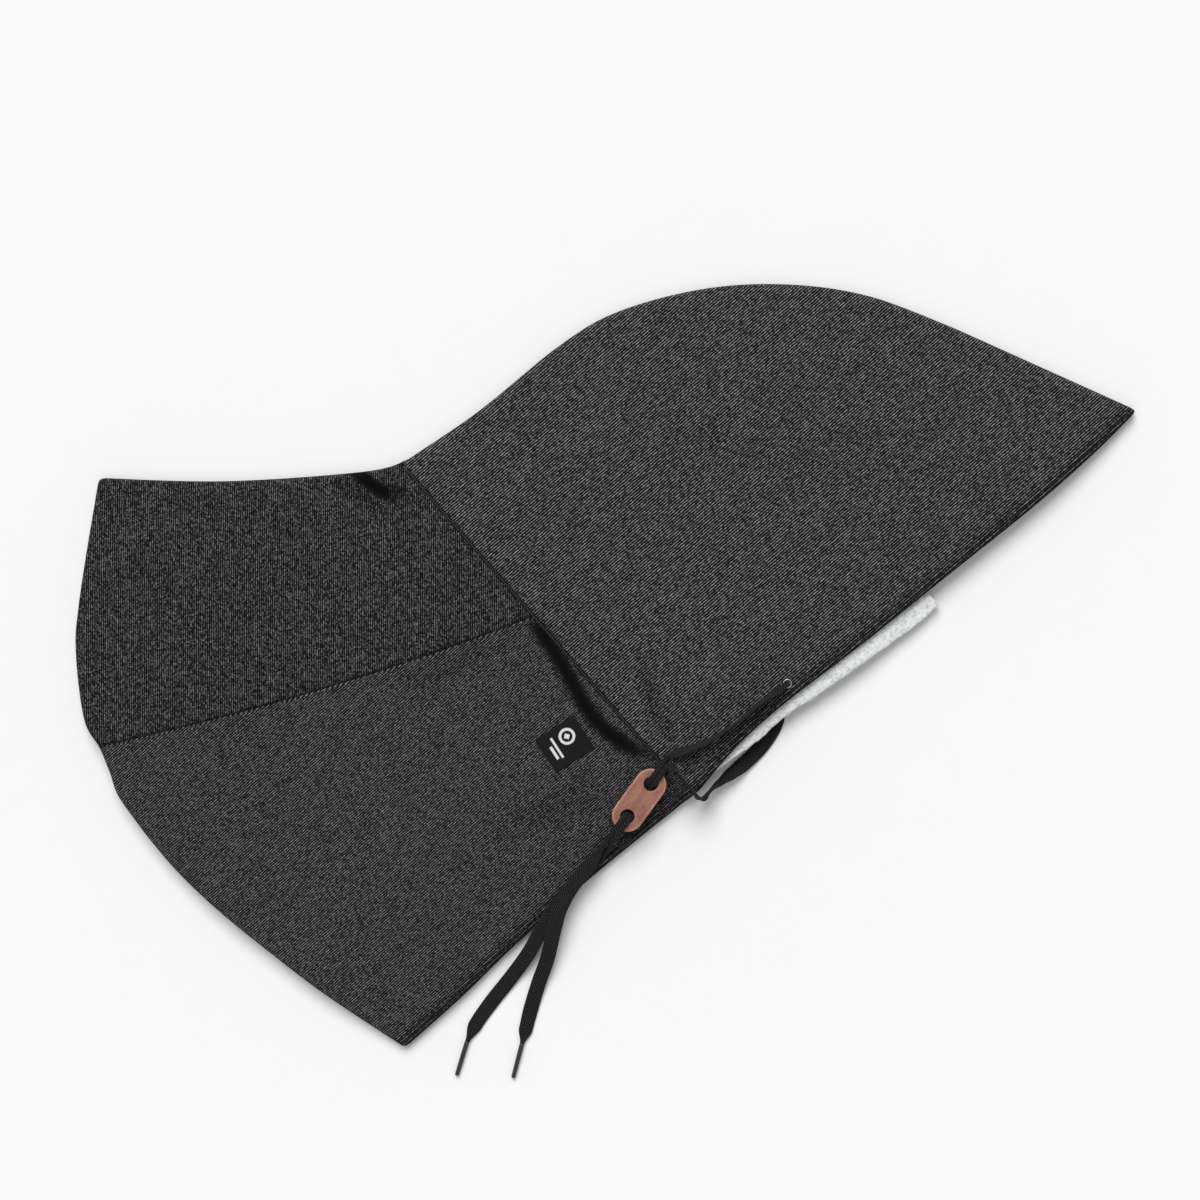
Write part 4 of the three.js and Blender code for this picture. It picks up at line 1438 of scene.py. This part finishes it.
def makeAglet(label, film):
    radius = aglet["across"] / 2
    length = aglet["length"]
    stops = [
        (0.0, 0.9), (0.0004, 1.0), (0.3 * length, 1.0), (0.5 * length, 0.985), (0.9 * length, 0.92),
        (length - 0.0003, 0.9), (length, 0.8),
    ]
    sides = 20
    verts = []
    for x, share in stops:
        for k in range(sides):
            angle = 2 * math.pi * k / sides
            dent = 1 - 0.1 * math.exp(-((angle - 1.2) / 0.16) ** 2)     # where the film overlaps
            reach = radius * share * dent
            verts.append((x, reach * math.cos(angle), reach * math.sin(angle)))
    piece = newPiece("aglet" + label, verts, tubeFaces(len(stops), sides), film)
    x, y = laceRoutes["tail" + label][-1][:2]
    start = Vector((x + shift[0], y + shift[1], radius + 0.0001))
    turn = math.atan2(*aglet["headings"][label])
    piece.matrix_world = Matrix.Translation(start) @ Matrix.Rotation(turn, 4, "Z")
    piece.data.set_sharp_from_angle(angle=math.radians(50))
    return settle(piece, "aglet_" + label.lower())


makeEyelets()
agletFilm = filmMaterial()
agletRight = makeAglet("Right", agletFilm)
agletLeft = makeAglet("Left", agletFilm)


print("hardware made")


label = {
    "length": 0.0275,
    "width": 0.0237,
    "thick": 0.0006,
    "middle": (-0.043, 0.072),
    "turn": -0.14,
    "pitch": 0.00028,
}


motif = {
    "ring": (0.0035, 0.0032),
    "radius": 0.0042,
    "stroke": 0.0008,
    "dot": 0.0021,
    "bars": [(-0.0052, 0.0005, 0.0068), (-0.0082, -0.0012, 0.0042)],
}


def labelMotif(u, v):
    ringU, ringV = motif["ring"]
    shown = np.abs(np.hypot(u - ringU, v - ringV) - motif["radius"]) < motif["stroke"]
    shown |= np.abs(u - ringU) + np.abs(v - ringV) < motif["dot"]
    for barU, barV, half in motif["bars"]:
        shown |= (np.abs(u - barU) < motif["stroke"]) & (np.abs(v - barV) < half)
    return shown.astype(float)


def labelMaterial():
    material, tree, shader = newMaterial("labelWeave")
    lay = splitXyz(tree, uvCoords(tree))
    weave = times(tree, waves(tree, lay["X"], 0.00062), waves(tree, lay["Y"], 0.00062))
    fuzz = noiseNode(tree, pieceCoords(tree), 1700.0, 2.0)
    tone = weighted(tree, (weave, 0.5), (fuzz, 0.5))
    ground = rampNode(tree, tone, [(0.1, (0.003, 0.003, 0.0034)), (0.8, (0.014, 0.0143, 0.0158))])
    thread = rampNode(tree, tone, [(0.1, (0.5, 0.5, 0.5)), (0.8, (0.8, 0.8, 0.8))])
    blend = addNode(tree, "Mix", data_type="RGBA")
    feed(tree, blend.inputs["Factor"], pointValue(tree, "motif"))
    feed(tree, blend.inputs[6], ground)
    feed(tree, blend.inputs[7], thread)
    tree.links.new(blend.outputs[2], shader.inputs["Base Color"])
    bumpTo(tree, shader, tone, 0.5, 0.0002)
    softFinish(shader, 0.8, 0.12)
    return material


def makeLabel():
    halfU = label["length"] / 2
    halfV = label["width"] / 2
    us = np.linspace(-halfU, halfU, int(label["length"] / label["pitch"]))
    vs = np.linspace(-halfV, halfV, int(label["width"] / label["pitch"]))
    c = math.cos(label["turn"])
    s = math.sin(label["turn"])
    verts = []
    lay = []
    for u in us:
        for v in vs:
            x = label["middle"][0] + u * c - v * s
            y = label["middle"][1] + u * s + v * c
            edge = min(halfU - abs(u), halfV - abs(v))
            fall = label["thick"] * (0.25 + 0.75 * float(roundOff(np.array(edge), 0.0005)))
            verts.append((x, y, topAt(x, y) + 0.00025 + fall))
            lay.append((u, v))
    piece = newPiece("labelPatch", placed(verts), gridFaces(len(us), len(vs), True), labelMaterial())
    layUv(piece, lay)
    u, v = np.array(lay).T
    pointValues(piece, "motif", labelMotif(u, v))
    return settle(piece, "label")


makeLabel()
print("label made")


studio = {
    "worldStrength": 0.545,
    "sunStrength": 2.57,
    "sunSpread": 38.0,
    "sunHeight": 52.0,
    "sunUp": 0.97,
    "sunLeft": 0.25,
    "floorShade": 0.8,
    "viewTurn": math.atan2(0.6561, 0.7547),
    "viewMiddle": (0.0293, 0.1232),
    "viewWidth": 0.72,
    "lens": 100.0,
    "sensor": 36.0,
    "viewLift": 0.008,      # about the middle of the cloth's height
}


def makeFloor():
    material, tree, shader = newMaterial("paleFloor")
    shade = studio["floorShade"]
    grain = noiseNode(tree, pieceCoords(tree), 40.0, 2.0)
    low = (shade * 0.998, shade * 0.998, shade)
    colourBy(tree, shader, grain, [(0.4, low), (0.6, (shade, shade, shade))])
    softFinish(shader, 1.0, 0.0)
    corners = [(-6, -6, 0), (6, -6, 0), (6, 6, 0), (-6, 6, 0)]
    floor = newPiece("floor", corners, [(0, 1, 2, 3)], material, False)
    floor.location.z = -0.0002


def makeLights():
    world = bpy.data.worlds.new("softRoom")
    bpy.context.scene.world = world
    world.use_nodes = True
    sky = world.node_tree.nodes["Background"]
    sky.inputs["Color"].default_value = (1, 1, 1, 1)
    sky.inputs["Strength"].default_value = studio["worldStrength"]
    sun = bpy.data.lights.new("softSun", "SUN")
    sun.energy = studio["sunStrength"]
    sun.angle = math.radians(studio["sunSpread"])
    lamp = bpy.data.objects.new("softSun", sun)
    bpy.context.scene.collection.objects.link(lamp)
    height = math.radians(studio["sunHeight"])
    up = Vector((math.sin(studio["viewTurn"]), math.cos(studio["viewTurn"]), 0))
    left = Vector((-up.y, up.x, 0))
    level = (up * studio["sunUp"] + left * studio["sunLeft"]).normalized()
    toward = level * math.cos(height) + Vector((0, 0, math.sin(height)))
    lamp.rotation_euler = toward.to_track_quat("Z", "Y").to_euler()


def makeCamera():
    camera = bpy.data.cameras.new("camera")
    camera.lens = studio["lens"]
    camera.sensor_width = studio["sensor"]
    camera.clip_end = 20.0
    eye = bpy.data.objects.new("camera", camera)
    bpy.context.scene.collection.objects.link(eye)
    distance = studio["viewWidth"] * studio["lens"] / studio["sensor"]
    x, y = np.array(studio["viewMiddle"]) + shift
    eye.location = (x, y, distance + studio["viewLift"])
    eye.rotation_euler = (0, 0, -studio["viewTurn"])
    bpy.context.scene.camera = eye


makeFloor()
makeLights()
makeCamera()
bpy.context.scene.view_settings.view_transform = "Standard"

print("finishing")
